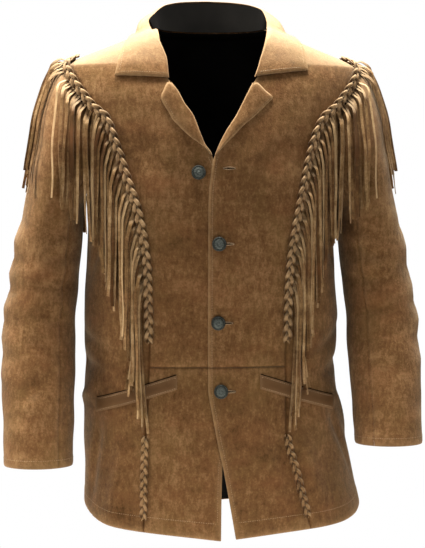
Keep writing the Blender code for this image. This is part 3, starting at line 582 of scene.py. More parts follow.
def level(row, angle):
    """The height of a row at this angle: rows below the skirt line spread out to follow the hem."""
    if row >= SKIRT_Z:
        return row
    turned = abs((angle + 180) % 360 - 180)
    share = (row - SKIRT_Z) / (HEM_ROW - SKIRT_Z)
    return SKIRT_Z + share * (HEM.at("z", turned) - SKIRT_Z)


def armhole_half(z, wide):
    """Half the armhole's opening at this height, in degrees."""
    reach = 1 - ((z - ARMHOLE_Z) / ARMHOLE_RISE) ** 2
    return wide * math.sqrt(max(0.0, reach))


def front_inner(side, row):
    """The front edge; where the lapel folds over it, it lies a little inside the fold."""
    tuck = FOLD_RADIUS * 0.6 * smooth((row + 0.206) / 0.010)
    return SIDES[side] * angle_at(row, FRONT_EDGE.at(side, row) + SIDES[side] * tuck)


def princess(side, row):
    return SIDES[side] * angle_at(row, SIDES[side] * PRINCESS.at(side, row))


def front_outer(side, row):
    """Outer edge of the centre front: shoulder seam, then armhole, then braided seam."""
    if row > SHOULDER_TIP_Z:
        return 90.0
    if row > BRAIDED_SEAM_TOP_Z:
        return 90.0 - armhole_half(row, ARMHOLE_FRONT)
    return min(princess(side, row), 90.0 - armhole_half(row, ARMHOLE_FRONT))


def side_outer(side, row):
    return 90.0 - armhole_half(row, ARMHOLE_FRONT)


def back_inner(side, row):
    return 90.0 + armhole_half(row, ARMHOLE_BACK)


def back_outer(side, row):
    return BACK_YOKE.at("angle", row) if row > BACK_YOKE.keys[0] else 180.0


def yoke_edge(side, row):
    if row > SHOULDER_TIP_Z:
        return 90.0
    return BACK_YOKE.at("angle", row) if row < BACK_YOKE.keys[-1] else back_inner(side, row)


def lining_edge(side, row):
    return (back_inner(side, row) if row < SHOULDER_TIP_Z else 90.0) + LINING_INSET


def mirrored(edge):
    """The same edge on the other half, counted on past the centre back."""
    return lambda side, row: 360.0 - edge(side, row)


def underlap(side, angle, z):
    """How deep the right front lies under the left one near the centre front."""
    if side == "left":
        return 0.0
    x = torso(angle, z).x
    return -UNDERLAP * smooth((x + 0.080) / 0.045) * smooth((-0.170 - z) / 0.030)


def flat(vector):
    return Vector((vector.x, vector.y, 0)).normalized()


OUTER_FACES = []


def build(name, points, faces, finishes, marks=None, values=None, smooth_angle=50):
    """A mesh object from points and faces; marks give each face's finish, values each point's numbers."""
    data = bpy.data.meshes.new(name)
    data.from_pydata(points, [], faces)
    for finish in finishes:
        data.materials.append(FINISHES[finish])
    if marks:
        data.polygons.foreach_set("material_index", marks)
    data.shade_smooth()
    data.set_sharp_from_angle(angle=math.radians(smooth_angle))
    for label, numbers in (values or {}).items():
        data.attributes.new(label, "FLOAT", "POINT").data.foreach_set("value", numbers)
    made = bpy.data.objects.new(name, data)
    bpy.context.scene.collection.objects.link(made)
    return made


def settle(made, slot, *nodes):
    """Puts a piece on the jacket's one body, in place of these solids."""
    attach(made, "root")
    if nodes:
        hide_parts(*nodes)
    return made


def wear_and_groove_shade(sewn, free, groove=0.95):
    """How much the surface is rubbed light near its edges (above 0), or painted darker along a seam's groove
    as painted shade (below 0).
    """
    # The second term is painted shade, darkening the colour along a seam's groove.
    seam = 0.30 * math.exp(-sewn / 0.005) - groove * math.exp(-sewn / 0.0014)
    return seam + math.exp(-free / 0.004) * 0.9


def slab(name, outer, inner, finishes, wear_and_painted_light=None, tone_and_shade=0.0, dark_top=False):
    """A closed wall between two grids of points. Its inside and rims may have finishes of their own.

    Points with a value above 0 are rubbed light, and points below 0 are painted darker, as painted shade in a
    seam's groove.
    """
    rows, columns = len(outer), len(outer[0])
    points = [p for row in outer for p in row] + [p for row in inner for p in row]
    depth = rows * columns
    faces, marks = [], []
    for i in range(rows - 1):
        for j in range(columns - 1):
            a, b = i * columns + j, (i + 1) * columns + j
            faces.append((a, a + 1, b + 1, b))
            marks.append(0)
            faces.append((depth + a, depth + b, depth + b + 1, depth + a + 1))
            marks.append(len(finishes) - 1)
    edges = [(j, j + 1) for j in range(columns - 1)]
    edges += [((rows - 1) * columns + j + 1, (rows - 1) * columns + j) for j in range(columns - 1)]
    edges += [((i + 1) * columns, i * columns) for i in range(rows - 1)]
    edges += [(i * columns + columns - 1, (i + 1) * columns + columns - 1) for i in range(rows - 1)]
    for number, (a, b) in enumerate(edges):
        faces.append((b, a, a + depth, b + depth))
        marks.append(len(finishes) - 1 if dark_top and number < columns - 1 else 0)
    middle, side = rows // 2, columns // 2
    a, b, c = (Vector(outer[i][j]) for i, j in ((middle, side), (middle, side - 1), (middle - 1, side)))
    if (b - a).cross(c - a).dot(Vector(outer[middle][side]) - Vector(inner[middle][side])) < 0:
        faces = [face[::-1] for face in faces]
    outside = faces[:2 * (rows - 1) * (columns - 1):2]
    wear_and_shade = [value for row in wear_and_painted_light for value in row] if wear_and_painted_light else [0.0] * depth
    # Values below 0 darken the colour, as painted shade in seam grooves.
    shades = [tone_and_shade + 0.8 * min(0.0, value) for value in wear_and_shade] + [tone_and_shade] * depth
    values = {"wear_and_painted_light": [max(0.0, value) for value in wear_and_shade] + [0.0] * depth, "tone_and_shade": shades}
    made = build(name, points, faces, finishes, marks, values)
    OUTER_FACES.append((name, points, outside))
    return made


def length_of(points):
    return running(points)[-1]


def running(points):
    """How far along the line each of its points lies."""
    run = [0.0]
    for a, b in zip(points, points[1:]):
        run.append(run[-1] + (b - a).length)
    return run


def stations(run, goals):
    """Where growing distances lie on a line: the point before each, and the share of the way to the next."""
    i = 0
    for goal in goals:
        while i < len(run) - 2 and run[i + 1] < goal:
            i += 1
        yield i, min(1.0, (goal - run[i]) / max(1e-6, run[i + 1] - run[i]))


def grids(rows):
    """Takes rows of places, each with its outer point, inner point and sometimes wear, apart into grids."""
    return zip(*([list(line) for line in zip(*row)] for row in rows))


def declare_sheet(outer):
    """Works out a piece's widest row, its longest column and the cloth's own area, and keeps none of them."""
    width = max(length_of(row) for row in outer)
    length = max(length_of([row[j] for row in outer]) for j in range(len(outer[0])))
    area = 0.0
    for row, after in zip(outer, outer[1:]):
        for j in range(len(row) - 1):
            area += (row[j + 1] - row[j]).cross(after[j] - row[j]).length
    area = min(width * length, max(0.31 * width * length, area))


def edge_marks(span, step=STEP, count=None):
    """Distances across a piece: close together along both edges, even in between."""
    insets = [inset * min(1.0, span / NARROW) for inset in EDGE_INSETS]
    count = count or max(2, round((span - 2 * insets[-1]) / step))
    inner = spread(insets[-1], span - insets[-1], count)
    return [0.0, *insets[:-1], *inner, *[span - inset for inset in insets[-2::-1]], span]


def fine_rows(high, low):
    """Heights from the top row to the bottom one, with extra ones where the armhole turns quickly."""
    marks = [high - mark for mark in edge_marks(high - low)]
    for turn in (52, 60, 67, 74, 80, 85, 88):
        rise = ARMHOLE_RISE * math.sin(math.radians(turn))
        marks += [z for z in (ARMHOLE_Z + rise, ARMHOLE_Z - rise) if low + 0.004 < z < high - 0.004]
    return sorted(set(marks), reverse=True)


def sunk_edge(gap, along):
    """A sewn or turned edge pulls the cloth in, with small puckers along it."""
    pucker = 1 + 0.3 * math.sin(along * 520) * math.sin(along * 173 + 1)
    return -SEAM_DIP * pucker * math.exp(-((gap / SEAM_SPREAD) ** 2))


def panel(name, nodes, side, rows, low, high, sink=None, top=0.0, thick=SUEDE, finishes=("suede", "lining"),
          slot="suede", tone_and_shade=0.0, bands=(), free_edge=False):
    """A wall on the torso surface between two edges, given as angles of the left half at each row.

    Its inner face lies a little towards its first edge and its first row, so it reaches under one neighbour
    and leaves room for the other, as a seam allowance does.
    """
    widest = max(high(side, row) - low(side, row) for row in rows)
    columns = max(10, round(widest * METRES_A_DEGREE / STEP))
    first_row, last_row = rows[0], rows[-1]
    cells = []
    for number, row in enumerate(rows):
        shift = {0: -SEAM_GAP / 2, len(rows) - 1: SEAM_GAP / 2}.get(number, 0.0)
        under = SEAM_UNDER if number in (0, len(rows) - 1) else 0.0
        first, final = low(side, row), high(side, row)
        degree = torso_slopes(SIDES[side] * (first + final) / 2, row)[0].length
        trim = SEAM_GAP / 2 / degree
        first, final = first + trim, final - trim
        span = (final - first) * degree
        cells.append([])
        for gap in edge_marks(span, count=columns):
            angle = first + gap / degree
            aside = SEAM_UNDER / degree if gap in (0.0, span) and not (free_edge and gap == 0.0) else 0.0
            z = level(row, angle) + shift
            out = top + (sink(side, SIDES[side] * angle, z) if sink else 0.0)
            dip = sunk_edge(min(gap, span - gap), z)
            dip += sunk_edge(min(first_row - row, row - last_row), angle / 60)
            lift = sum(band(gap, row) for band in bands)
            point = skin(SIDES[side] * angle, z, out + max(DEEPEST_DIP, dip) + lift)
            back = skin(SIDES[side] * (angle - aside), min(0.0, z + under), out - thick)
            hem = row - last_row if last_row == HEM_ROW else 1.0
            sewn = min(first_row - row, span - gap, 1.0 if last_row == HEM_ROW else row - last_row)
            sewn, free = (sewn, min(gap, hem)) if free_edge else (min(sewn, gap), hem)
            cells[-1].append((point, back, wear_and_groove_shade(sewn, free)))
    outer, inner, wear_and_painted_light = grids(cells)
    made = settle(slab(name, outer, inner, finishes, wear_and_painted_light, tone_and_shade, dark_top=rows[0] == 0.0), slot, *nodes)
    declare_sheet(outer)
    return made


def hem_band(gap, row):
    """The turned-up hem is a little thicker than the rest."""
    return TURN_UP * (1 - smooth((row - HEM_ROW - HEM_BAND + 0.002) / 0.003))


def edge_band(gap, row):
    """The turned front edge is thicker as far as its stitching, below the lapel."""
    return TURN_UP * (1 - smooth((gap - EDGE_BAND + 0.001) / 0.002)) * smooth((-0.200 - row) / 0.010)


def make_fronts():
    """Each front: the centre front above and below the waist seam, and the side front beyond the plait."""
    for side in SIDES:
        panel(
            f"upper_front_{side}", [f"front_upper_{side}"], side, fine_rows(0.0, WAIST_Z),
            front_inner, front_outer, sink=underlap, tone_and_shade=0.02, bands=(edge_band,), free_edge=True,
        )
        panel(
            f"lower_front_{side}", [f"front_lower_{side}"], side, fine_rows(WAIST_Z, HEM_ROW),
            front_inner, front_outer, sink=underlap, tone_and_shade=-0.04,
            bands=(edge_band, hem_band), free_edge=True,
        )
        panel(
            f"side_front_{side}", [f"front_side_{side}"], side, fine_rows(SIDE_TOP_Z, HEM_ROW),
            princess, side_outer, tone_and_shade=-0.08, bands=(hem_band,),
        )


def make_back():
    panel(
        "yoke", ["back_yoke"], "left", fine_rows(0.0, YOKE_END_Z), yoke_edge, mirrored(yoke_edge),
        tone_and_shade=0.05,
    )
    for side in SIDES:
        panel(
            f"lower_back_{side}", [f"back_{side}"], side, fine_rows(SIDE_TOP_Z, HEM_ROW),
            back_inner, back_outer, tone_and_shade=-0.03, bands=(hem_band,),
        )
    panel(
        "back_lining", ["lining_back"], "left", fine_rows(-0.006, -0.768), lining_edge, mirrored(lining_edge),
        top=-LINING_DEPTH, thick=LINING, finishes=("lining",), slot="lining",
    )


def sleeve_ring(side, z, thin):
    """Points round one sleeve section, from the underarm through the front, the outer side and the back."""
    stretch = (CUFF_Z[side] - SLEEVE_TOP_Z) / (SLEEVE.keys[0] - SLEEVE_TOP_Z)
    key = SLEEVE_TOP_Z + (z - SLEEVE_TOP_Z) / stretch
    x, y = SLEEVE.at("x", key), SLEEVE.at("y", key)
    wide, deep = SLEEVE.at("wide", key) - thin, SLEEVE.at("deep", key) - thin
    ring = []
    for n in range(SLEEVE_SIDES):
        turn = 2 * math.pi * n / SLEEVE_SIDES - math.pi / 2
        ring.append(Vector((SIDES[side] * (x + wide * math.sin(turn)), y - deep * math.cos(turn), z)))
    return ring


def armhole_ring(side):
    """The line on the torso, just outside the armhole, where the sleeve is sewn on."""
    ring = []
    for n in range(SLEEVE_SIDES):
        turn = 2 * math.pi * n / SLEEVE_SIDES - math.pi / 2
        wide = (ARMHOLE_FRONT if math.cos(turn) > 0 else ARMHOLE_BACK) + ARMHOLE_SEAM
        angle = 90.0 - wide * math.cos(turn)
        z = ARMHOLE_Z + (ARMHOLE_RISE + SLEEVE_LAP) * math.sin(turn)
        under = SLEEVE_WALL * smooth(-2 * math.sin(turn) - 0.4)
        over = ARMHOLE_SEAM_OUT * smooth(3 * math.sin(turn) - 2)
        ring.append((SIDES[side] * angle, z, ARMHOLE_SEAM_OUT + under + over))
    return ring


def sleeve_rings(side):
    """Inner face of a sleeve as rings, from the armhole over the cap and down to the cuff."""
    first = sleeve_ring(side, SLEEVE_TOP_Z, SLEEVE_WALL)
    second = sleeve_ring(side, SLEEVE_SECOND_Z, SLEEVE_WALL)
    rings = [[] for _ in range(CAP_ROWS)]
    for n, (angle, z, out) in enumerate(armhole_ring(side)):
        start = skin(angle, z, out)
        end, after = first[n], second[n]
        reach = (end - start).length
        normal = normal_at(angle, z).copy()
        normal.z = 0
        leave = (end - start).normalized() + CAP_SWELL * normal.normalized()
        leave = leave.normalized() * reach * CAP_LEAVE
        arrive = (after - end).normalized() * reach * CAP_ARRIVE
        for row in range(CAP_ROWS):
            t = (row / CAP_ROWS) ** 1.15
            rings[row].append(
                start * (1 + 2 * t) * (1 - t) ** 2
                + leave * t * (1 - t) ** 2
                + end * t * t * (3 - 2 * t)
                + arrive * t * t * (t - 1)
            )
    for gap in edge_marks(SLEEVE_TOP_Z - CUFF_Z[side]):
        rings.append(sleeve_ring(side, SLEEVE_TOP_Z - gap, SLEEVE_WALL))
    return rings


def ring_normals(rings):
    """Outward normal at each point of a tube."""
    normals = []
    last = len(rings) - 1
    for i, ring in enumerate(rings):
        centre = sum(ring, Vector()) / len(ring)
        row = []
        for j, point in enumerate(ring):
            along = rings[min(i + 1, last)][j] - rings[max(i - 1, 0)][j]
            across = ring[(j + 1) % len(ring)] - ring[j - 1]
            normal = along.cross(across).normalized()
            row.append(normal if normal.dot(point - centre) > 0 else -normal)
        normals.append(row)
    return normals


def sleeve_drape(side, turn, z, row, cuff_gap):
    """Elbow and drag creases of a sleeve, little puckers round its head, and the turned-up cuff."""
    free = smooth(row / 8)
    creases = SLEEVE_DEPTH * crease_depth(SLEEVE_CREASES[side], turn, z, SLEEVE_METRES_A_DEGREE)
    waves = 0.0004 * (math.sin(math.radians(3 * turn) + 61 * z) + math.sin(math.radians(5 * turn) - 97 * z))
    head = 0.0005 * (1 - smooth(row / 7)) * math.sin(math.radians(turn) * 26) * smooth(row / 2)
    turn_up = TURN_UP * (1 - smooth((cuff_gap - CUFF_BAND + 0.002) / 0.003))
    return free * smooth(cuff_gap / 0.05) * (creases + waves) + head + turn_up


def make_sleeves():
    """Each sleeve has a top sleeve outside and an under sleeve inside, split along the tube."""
    seam_front, seam_back = SLEEVE_SIDES * 3 // 20, SLEEVE_SIDES * 16 // 20
    for side in SIDES:
        rings = sleeve_rings(side)
        normals = ring_normals(rings)
        pieces = {
            "top": list(range(seam_front, seam_back + 1)),
            "under": [*range(seam_back, SLEEVE_SIDES), *range(0, seam_front + 1)],
        }
        for name, columns in pieces.items():
            cells = []
            for i, (ring, normal) in enumerate(zip(rings, normals)):
                points = [ring[j].copy() for j in columns]
                for end, next_to in ((0, 1), (-1, -2)):
                    points[end] += (points[next_to] - points[end]).normalized() * SEAM_GAP / 2
                run = running(points)
                cells.append([])
                for point, j, gone in zip(points, columns, run):
                    turn = 360.0 * j / SLEEVE_SIDES - 90.0
                    cuff_gap = point.z - CUFF_Z[side]
                    off = sleeve_drape(side, turn, point.z, i, cuff_gap)
                    gap = min(gone, run[-1] - gone)
                    dip = sunk_edge(gap, point.z)
                    dip += sunk_edge(cuff_gap, turn / 60) + sunk_edge(i * 0.0015, turn / 60)
                    top = point + normal[j] * (SLEEVE_WALL + off + max(DEEPEST_DIP, dip))
                    cells[-1].append((top, point + normal[j] * off, wear_and_groove_shade(gap, cuff_gap, 0.45)))
            outer, inner, wear_and_painted_light = grids(cells)
            tone_and_shade = 0.06 if name == "top" else 0.0
            made = slab(f"{name}_sleeve_{side}", outer, inner, ("suede", "lining"), wear_and_painted_light, tone_and_shade)
            settle(made, "suede", f"sleeve_{name}_{side}")
            declare_sheet(outer)


def raised(tree, point, clear):
    """The point, moved off the surface under it until it clears it by this much."""
    place, normal, _, _ = tree.find_nearest(point)
    away = (point - place).dot(normal)
    if away >= clear:
        return point
    return point + normal * (clear - away)


def torso_tree():
    """The torso surface itself, for laying the collar on."""
    heights = spread(-0.003, -0.130, 24)
    points = [torso(angle, z) for z in heights for angle in range(-180, 180, 3)]
    faces = []
    for i in range(len(heights) - 1):
        for j in range(120):
            after = (j + 1) % 120
            faces.append((i * 120 + j, (i + 1) * 120 + j, (i + 1) * 120 + after, i * 120 + after))
    return BVHTree.FromPolygons(points, faces)


def collar_point(side, part, name):
    x, y, z = (COLLAR[side].at(f"{name}_{axis}", part) for axis in "xyz")
    return Vector((SIDES[side] * x, y, z))


def neck_point(side, part):
    drop = COLLAR[side].at("drop", part)
    if drop > -0.006:
        return torso(SIDES[side] * COLLAR[side].at("turn", part), drop)
    return torso(angle_at(drop, FRONT_EDGE.at(side, drop)), drop)


COLLAR_STEPS = [0.0, *spread(0.0, 1.0, 46)[1:-1], 0.985, 0.994, 1.0]
COLLAR_PARTS = [("right", t) for t in COLLAR_STEPS[:0:-1]] + [("left", t) for t in COLLAR_STEPS]
FOLD_TURNS = (-75, -45, -15, 15, 42, 66)
FALL_SHARES = (0.06, 0.12, 0.20, 0.29, 0.38, 0.47, 0.56, 0.65, 0.74, 0.83, 0.90, 0.94, 0.975, 0.99, 1.0)


def fall_line(body, side, part):
    """Outer and inner points of the collar at one part: round the fold, then down the fall."""
    roll, edge = collar_point(side, part, "roll"), collar_point(side, part, "edge")
    away = flat(edge - roll)
    front = smooth((part - 0.55) / 0.4)
    tops, bottoms, lifts = [], [], []
    for share in (0.0, *FALL_SHARES):
        arch = COLLAR_ARCH * (1 - front) * math.sin(math.pi * min(1.0, share * 1.5))
        point = roll.lerp(edge, share) + away * arch + Vector((0, 0, arch * 0.5))
        clear = COLLAR_GAP + COLLAR_SIDE_GAP * smooth(part * 4 - 1) * smooth(4.0 - part * 4)
        low = raised(body, point, clear)
        lift = away.lerp(body.find_nearest(low)[1], max(front, 0.6 * share)).normalized()
        rim = min((1 - share) * (edge - roll).length, (1 - part) * 0.18)
        thick = COLLAR_THICK + 0.0008 * math.sin(math.pi * share) + sunk_edge(rim, part * 0.2)
        tops.append(low + lift * thick)
        bottoms.append(low)
        lifts.append(lift)
    across = (tops[1] - tops[0]).normalized()
    centre = tops[0] - lifts[0] * FOLD_RADIUS + across * FOLD_RADIUS * 0.4
    fold_tops, fold_bottoms = [], []
    for turn in FOLD_TURNS:
        spoke = lifts[0] * math.sin(math.radians(turn)) - across * math.cos(math.radians(turn))
        fold_tops.append(centre + spoke * FOLD_RADIUS)
        fold_bottoms.append(centre + spoke * (FOLD_RADIUS - FOLD_WALL))
    bottoms[0] = tops[0] - lifts[0] * FOLD_WALL
    return [*fold_tops, *tops], [*fold_bottoms, *bottoms]


def make_collar():
    """The fall of the collar, turned over the roll line onto the shoulders, and the stand inside it."""
    body = torso_tree()
    lines = [fall_line(body, side, part) for side, part in COLLAR_PARTS]
    outer, inner = zip(*lines)
    wear_and_painted_light = []
    for side, part in COLLAR_PARTS:
        row = [0.35] * len(FOLD_TURNS)
        for share in (0.0, *FALL_SHARES):
            row.append(math.exp(-min((1 - share) * 0.07, (1 - part) * 0.18) / 0.004))
        wear_and_painted_light.append(row)
    made = settle(slab("collar_fall", outer, inner, ("suede",), wear_and_painted_light, 0.04), "suede", "collar")
    declare_sheet(outer)
    cells = []
    for share in spread(0.0, 1.0, 8):
        cells.append([])
        for side, whole in COLLAR_PARTS:
            part = whole * STAND_END
            neck, roll = neck_point(side, part), collar_point(side, part, "roll")
            out = flat(neck)
            point = neck.lerp(roll, STAND_HEIGHT * share) - out * STAND_INSET + Vector((0, 0, STAND_GAP))
            cells[-1].append((point + out * STAND_THICK, point))
    outer, inner = grids(cells)
    made = settle(slab("stand_of_collar", outer, inner, ("lining",)), "lining", "collar_stand")
    declare_sheet(outer)


def make_lapels():
    """The turned front edges: each starts inside the front, rolls over its edge and lies on it."""
    heights = [LAPEL_TOP_Z - mark for mark in edge_marks(LAPEL_GRID_LENGTH, 0.0034)]
    for side in SIDES:
        cells = []
        for z in heights:
            roll = SIDES[side] * FRONT_EDGE.at(side, z)
            width = LAPEL.at(side, z)
            sunk = underlap(side, angle_at(z, SIDES[side] * roll), z)
            cells.append([])
            for turn in LAPEL_TURNS:
                spoke = math.radians(turn)
                pair = []
                for radius in (FOLD_RADIUS, FOLD_RADIUS - FOLD_WALL):
                    x = roll + FOLD_RADIUS - radius * math.cos(spoke)
                    out = LAID_GAP + SUEDE - FOLD_RADIUS + radius * math.sin(spoke)
                    pair.append(skin(angle_at(z, SIDES[side] * x), z, out + sunk))
                cells[-1].append((*pair, 0.3))
            reach = max(0.0008, width - FOLD_RADIUS)
            near_top = min(LAPEL_TOP_Z - z, z - LAPEL_END_Z)
            for share in LAPEL_SHARES:
                x = SIDES[side] * (roll + FOLD_RADIUS + reach * share)
                angle = angle_at(z, x)
                low = LAID_GAP + underlap(side, angle, z) + 0.0012 * math.sin(math.pi * share)
                dip = sunk_edge((1 - share) * reach, z) + sunk_edge(near_top, share * 0.1)
                rubbed = math.exp(-min((1 - share) * reach, near_top + 0.0005) / 0.004)
                top = skin(angle, z, low + SUEDE + max(DEEPEST_DIP, dip))
                cells[-1].append((top, skin(angle, z, low), rubbed))
        outer, inner, wear_and_painted_light = grids(cells)
        made = slab(f"turned_lapel_{side}", outer, inner, ("suede",), wear_and_painted_light, 0.05)
        settle(made, "suede", f"lapel_{side}")
        declare_sheet(outer)


def welt_spot(side, share, drop):
    """Angle and height on a pocket welt: along it by share, down from its top edge by drop."""
    x = POCKET_INNER[0] + (POCKET_OUTER[0] - POCKET_INNER[0]) * share
    z = POCKET_INNER[1] + (POCKET_OUTER[1] - POCKET_INNER[1]) * share - drop
    return angle_at(z, SIDES[side] * x), z


def welt_place(side, share, drop, out):
    angle, z = welt_spot(side, share, drop)
    return skin(angle, z, underlap(side, angle, z) + out)


def welt_normal(side, share, drop):
    return normal_at(*welt_spot(side, share, drop))


def make_pockets():
    """Two slanted welts of smoother leather, padded a little, with a dark mouth along the upper edge, a thin
    sheet of painted shade in the opening.
    """
    run = math.dist(POCKET_INNER, POCKET_OUTER)
    for side in SIDES:
        cells = []
        for drop in edge_marks(WELT_HEIGHT, 0.0020):
            cells.append([])
            for gone in edge_marks(run, 0.0040):
                gap = min(gone, run - gone, WELT_HEIGHT - drop, drop)
                pad = 0.0008 * math.sin(math.pi * drop / WELT_HEIGHT) + 0.0002 * math.sin(gone * 160)
                out = LAID_GAP + SUEDE + pad + max(DEEPEST_DIP, 0.9 * sunk_edge(gap, gone))
                pair = [welt_place(side, gone / run, drop, height) for height in (out, LAID_GAP)]
                cells[-1].append((*pair, math.exp(-gap / 0.003)))
        outer, inner, wear_and_painted_light = grids(cells)
        made = slab(f"welt_{side}", outer, inner, ("welt",), wear_and_painted_light)
        settle(made, "pocket_leather", f"pocket_welt_{side}")
        declare_sheet(outer)
        # The mouth is a dark sheet standing for the shade inside the pocket's opening.
        along = spread(0.01, 0.99, 40)
        outer, inner = (
            [[welt_place(side, share, drop, height) for share in along] for drop in MOUTH_DROPS]
            for height in (0.0006, -0.0004)
        )
        settle(slab(f"pocket_mouth_{side}", outer, inner, ("lining",)), "lining")


def local_axes(angle, z):
    """The torso's normal at a place, and the directions across and up along its surface."""
    normal = normal_at(angle, z)
    across = Vector((0, 0, 1)).cross(normal).normalized()
    return normal, across, normal.cross(across)


# Profile of a button from its back over the rim to the middle: share of the radius, and height
BUTTON_PROFILE = (
    (0.00, 0.0000), (0.80, 0.0000), (0.94, 0.0004), (1.00, 0.0012), (0.99, 0.0020), (0.94, 0.0026),
    (0.87, 0.0027), (0.82, 0.0023), (0.77, 0.0024), (0.66, 0.0032), (0.50, 0.0038), (0.32, 0.0041),
    (0.29, 0.0038), (0.25, 0.0038), (0.22, 0.0042), (0.12, 0.0046), (0.00, 0.0047),
)


def make_buttons():
    """Aged metal buttons: a rim, a ring of small beads, and a low dome with a boss."""
    sides = 48
    for name, x, z, out in BUTTONS:
        angle = angle_at(z, x)
        normal, across, up = local_axes(angle, z)
        base = skin(angle, z, out)
        points, faces = [], []
        for radius, height in BUTTON_PROFILE:
            for n in range(sides):
                turn = 2 * math.pi * n / sides
                dome = smooth((radius - 0.33) / 0.1) * smooth((0.76 - radius) / 0.1)
                ribs = 0.00025 * math.cos(12 * turn) * dome
                spoke = across * math.cos(turn) + up * math.sin(turn)
                points.append(base + spoke * radius * BUTTON_RADIUS + normal * (height + ribs))
        for ring in range(len(BUTTON_PROFILE) - 1):
            for n in range(sides):
                a, b = ring * sides + n, ring * sides + (n + 1) % sides
                faces.append((a, b, b + sides, a + sides))
        for n in range(24):
            turn = 2 * math.pi * n / 24
            spoke = across * math.cos(turn) + up * math.sin(turn)
            add_bead(points, faces, base + spoke * 0.845 * BUTTON_RADIUS + normal * 0.0026, 0.00075)
        values = {"wear_and_painted_light": [smooth(((p - base).dot(normal) - 0.0022) / 0.002) for p in points]}
        made = build(name.replace("button", "metal_button"), points, faces, ("metal",), values=values)
        merge_close(made)
        settle(made, "button_metal", name)


def add_bead(points, faces, centre, radius):
    """A small ball of 6 by 8 faces."""
    start = len(points)
    for i in range(7):
        tilt = math.pi * i / 6
        for n in range(8):
            turn = 2 * math.pi * n / 8
            spoke = Vector((math.sin(tilt) * math.cos(turn), math.sin(tilt) * math.sin(turn), math.cos(tilt)))
            points.append(centre + spoke * radius)
    for i in range(6):
        for n in range(8):
            a, b = start + i * 8 + n, start + i * 8 + (n + 1) % 8
            faces.append((a, a + 8, b + 8, b))


def merge_close(made):
    """Joins points that lie on each other, such as the middle of a turned form."""
    mesh = bmesh.new()
    mesh.from_mesh(made.data)
    bmesh.ops.remove_doubles(mesh, verts=mesh.verts, dist=0.00001)
    bmesh.ops.recalc_face_normals(mesh, faces=mesh.faces)
    mesh.to_mesh(made.data)
    mesh.free()


def tube(points, faces, line, radii, normals, sides=6):
    """Adds a flattened tube along a line: radii are its half-width and half-thickness at each point."""
    start = len(points)
    last = len(line) - 1
    for i, (centre, (half, thick), normal) in enumerate(zip(line, radii, normals)):
        ahead = (line[min(i + 1, last)] - line[max(i - 1, 0)]).normalized()
        wide = normal.cross(ahead).normalized()
        top = ahead.cross(wide)
        for n in range(sides):
            turn = 2 * math.pi * (n + 0.5) / sides
            points.append(centre + wide * half * math.cos(turn) + top * thick * math.sin(turn))
    for i in range(last):
        for n in range(sides):
            a, b = start + i * sides + n, start + i * sides + (n + 1) % sides
            faces.append((a, b, b + sides, a + sides))
    faces.append(tuple(start + n for n in range(sides))[::-1])
    faces.append(tuple(start + last * sides + n for n in range(sides)))


def make_buttonholes():
    """Each buttonhole is a slit, filled with a dark sheet as painted shade, between two worked lips of
    thread.
    """
    for name, x, z, length in BUTTONHOLES:
        # The slit is a dark sheet standing for the shade in the opening.
        outer, inner = [], []
        for rise in spread(-1.0, 1.0, 2):
            tops, bottoms = [], []
            for share in spread(0.0, 1.0, 10):
                open_half = 0.0007 * math.sin(math.pi * share) ** 0.5 + 0.00005
                angle = angle_at(z, x + length * share)
                tops.append(skin(angle, z + rise * open_half, 0.0004))
                bottoms.append(skin(angle, z + rise * open_half, -0.0003))
            outer.append(tops)
            inner.append(bottoms)
        settle(slab(name, outer, inner, ("lining",)), "lining")
        points, faces = [], []
        count = 30
        line, normals = [], []
        for n in range(2 * count + 1):
            turn = 2 * math.pi * n / (2 * count)
            along = x + length * (0.5 - 0.54 * math.cos(turn))
            height = z + 0.0017 * math.sin(turn)
            angle = angle_at(height, along)
            line.append(skin(angle, height, 0.0006))
            normals.append(normal_at(angle, height))
        for a in range(2 * count):
            bead = [line[a], line[a].lerp(line[a + 1], 0.5), line[a + 1]]
            tube(points, faces, bead, THREAD_BEAD, [normals[a]] * 3)
        made = build(f"{name}_thread", points, faces, ("thread",), values={"tone_and_shade": [0.0] * len(points)})
        settle(made, "suede")


def through(points, steps):
    """A smooth line through pairs of numbers, with this many steps between each two."""
    line = []
    last = len(points) - 1
    for i in range(last):
        before, a, b, after = (Vector(points[min(max(i + k, 0), last)]) for k in (-1, 0, 1, 2))
        for n in range(steps):
            t = n / steps
            line.append(
                0.5 * (2 * a + (b - before) * t + (2 * before - 5 * a + 4 * b - after) * t * t
                       + (3 * a - before - 3 * b + after) * t ** 3)
            )
    return [*line, Vector(points[-1])]


# Where the braid's line is read: heights on the yoke, turns round the armhole, heights on the front
YOKE_MARKS = (-0.191, -0.177, -0.157, -0.138)
HOLE_MARKS = (148, 128, 108, 90, 72, 54, 38)
FRONT_MARKS = (-0.127, -0.145, -0.170, -0.200, -0.240, -0.290, -0.350, -0.420, UPPER_BRAID_END_Z)


def braid_route(side, low_z):
    """Angles and heights along the braid: centre back, yoke edge, over the shoulder, chest, braided seam."""
    yoke = [(179.5, -0.1961), *((BACK_YOKE.at("angle", z), z) for z in YOKE_MARKS)]
    hole = []
    for turn in HOLE_MARKS:
        wide = (ARMHOLE_FRONT if turn < 90 else ARMHOLE_BACK) + BRAID_HOLE_OFF[0]
        rise = ARMHOLE_RISE + BRAID_HOLE_OFF[1]
        angle = 90.0 - wide * math.cos(math.radians(turn))
        hole.append((angle, ARMHOLE_Z + rise * math.sin(math.radians(turn))))
    front = [(princess(side, z), z) for z in FRONT_MARKS if z >= low_z]
    return [(SIDES[side] * angle, z) for angle, z in through([*yoke, *hole, *front], 12)]


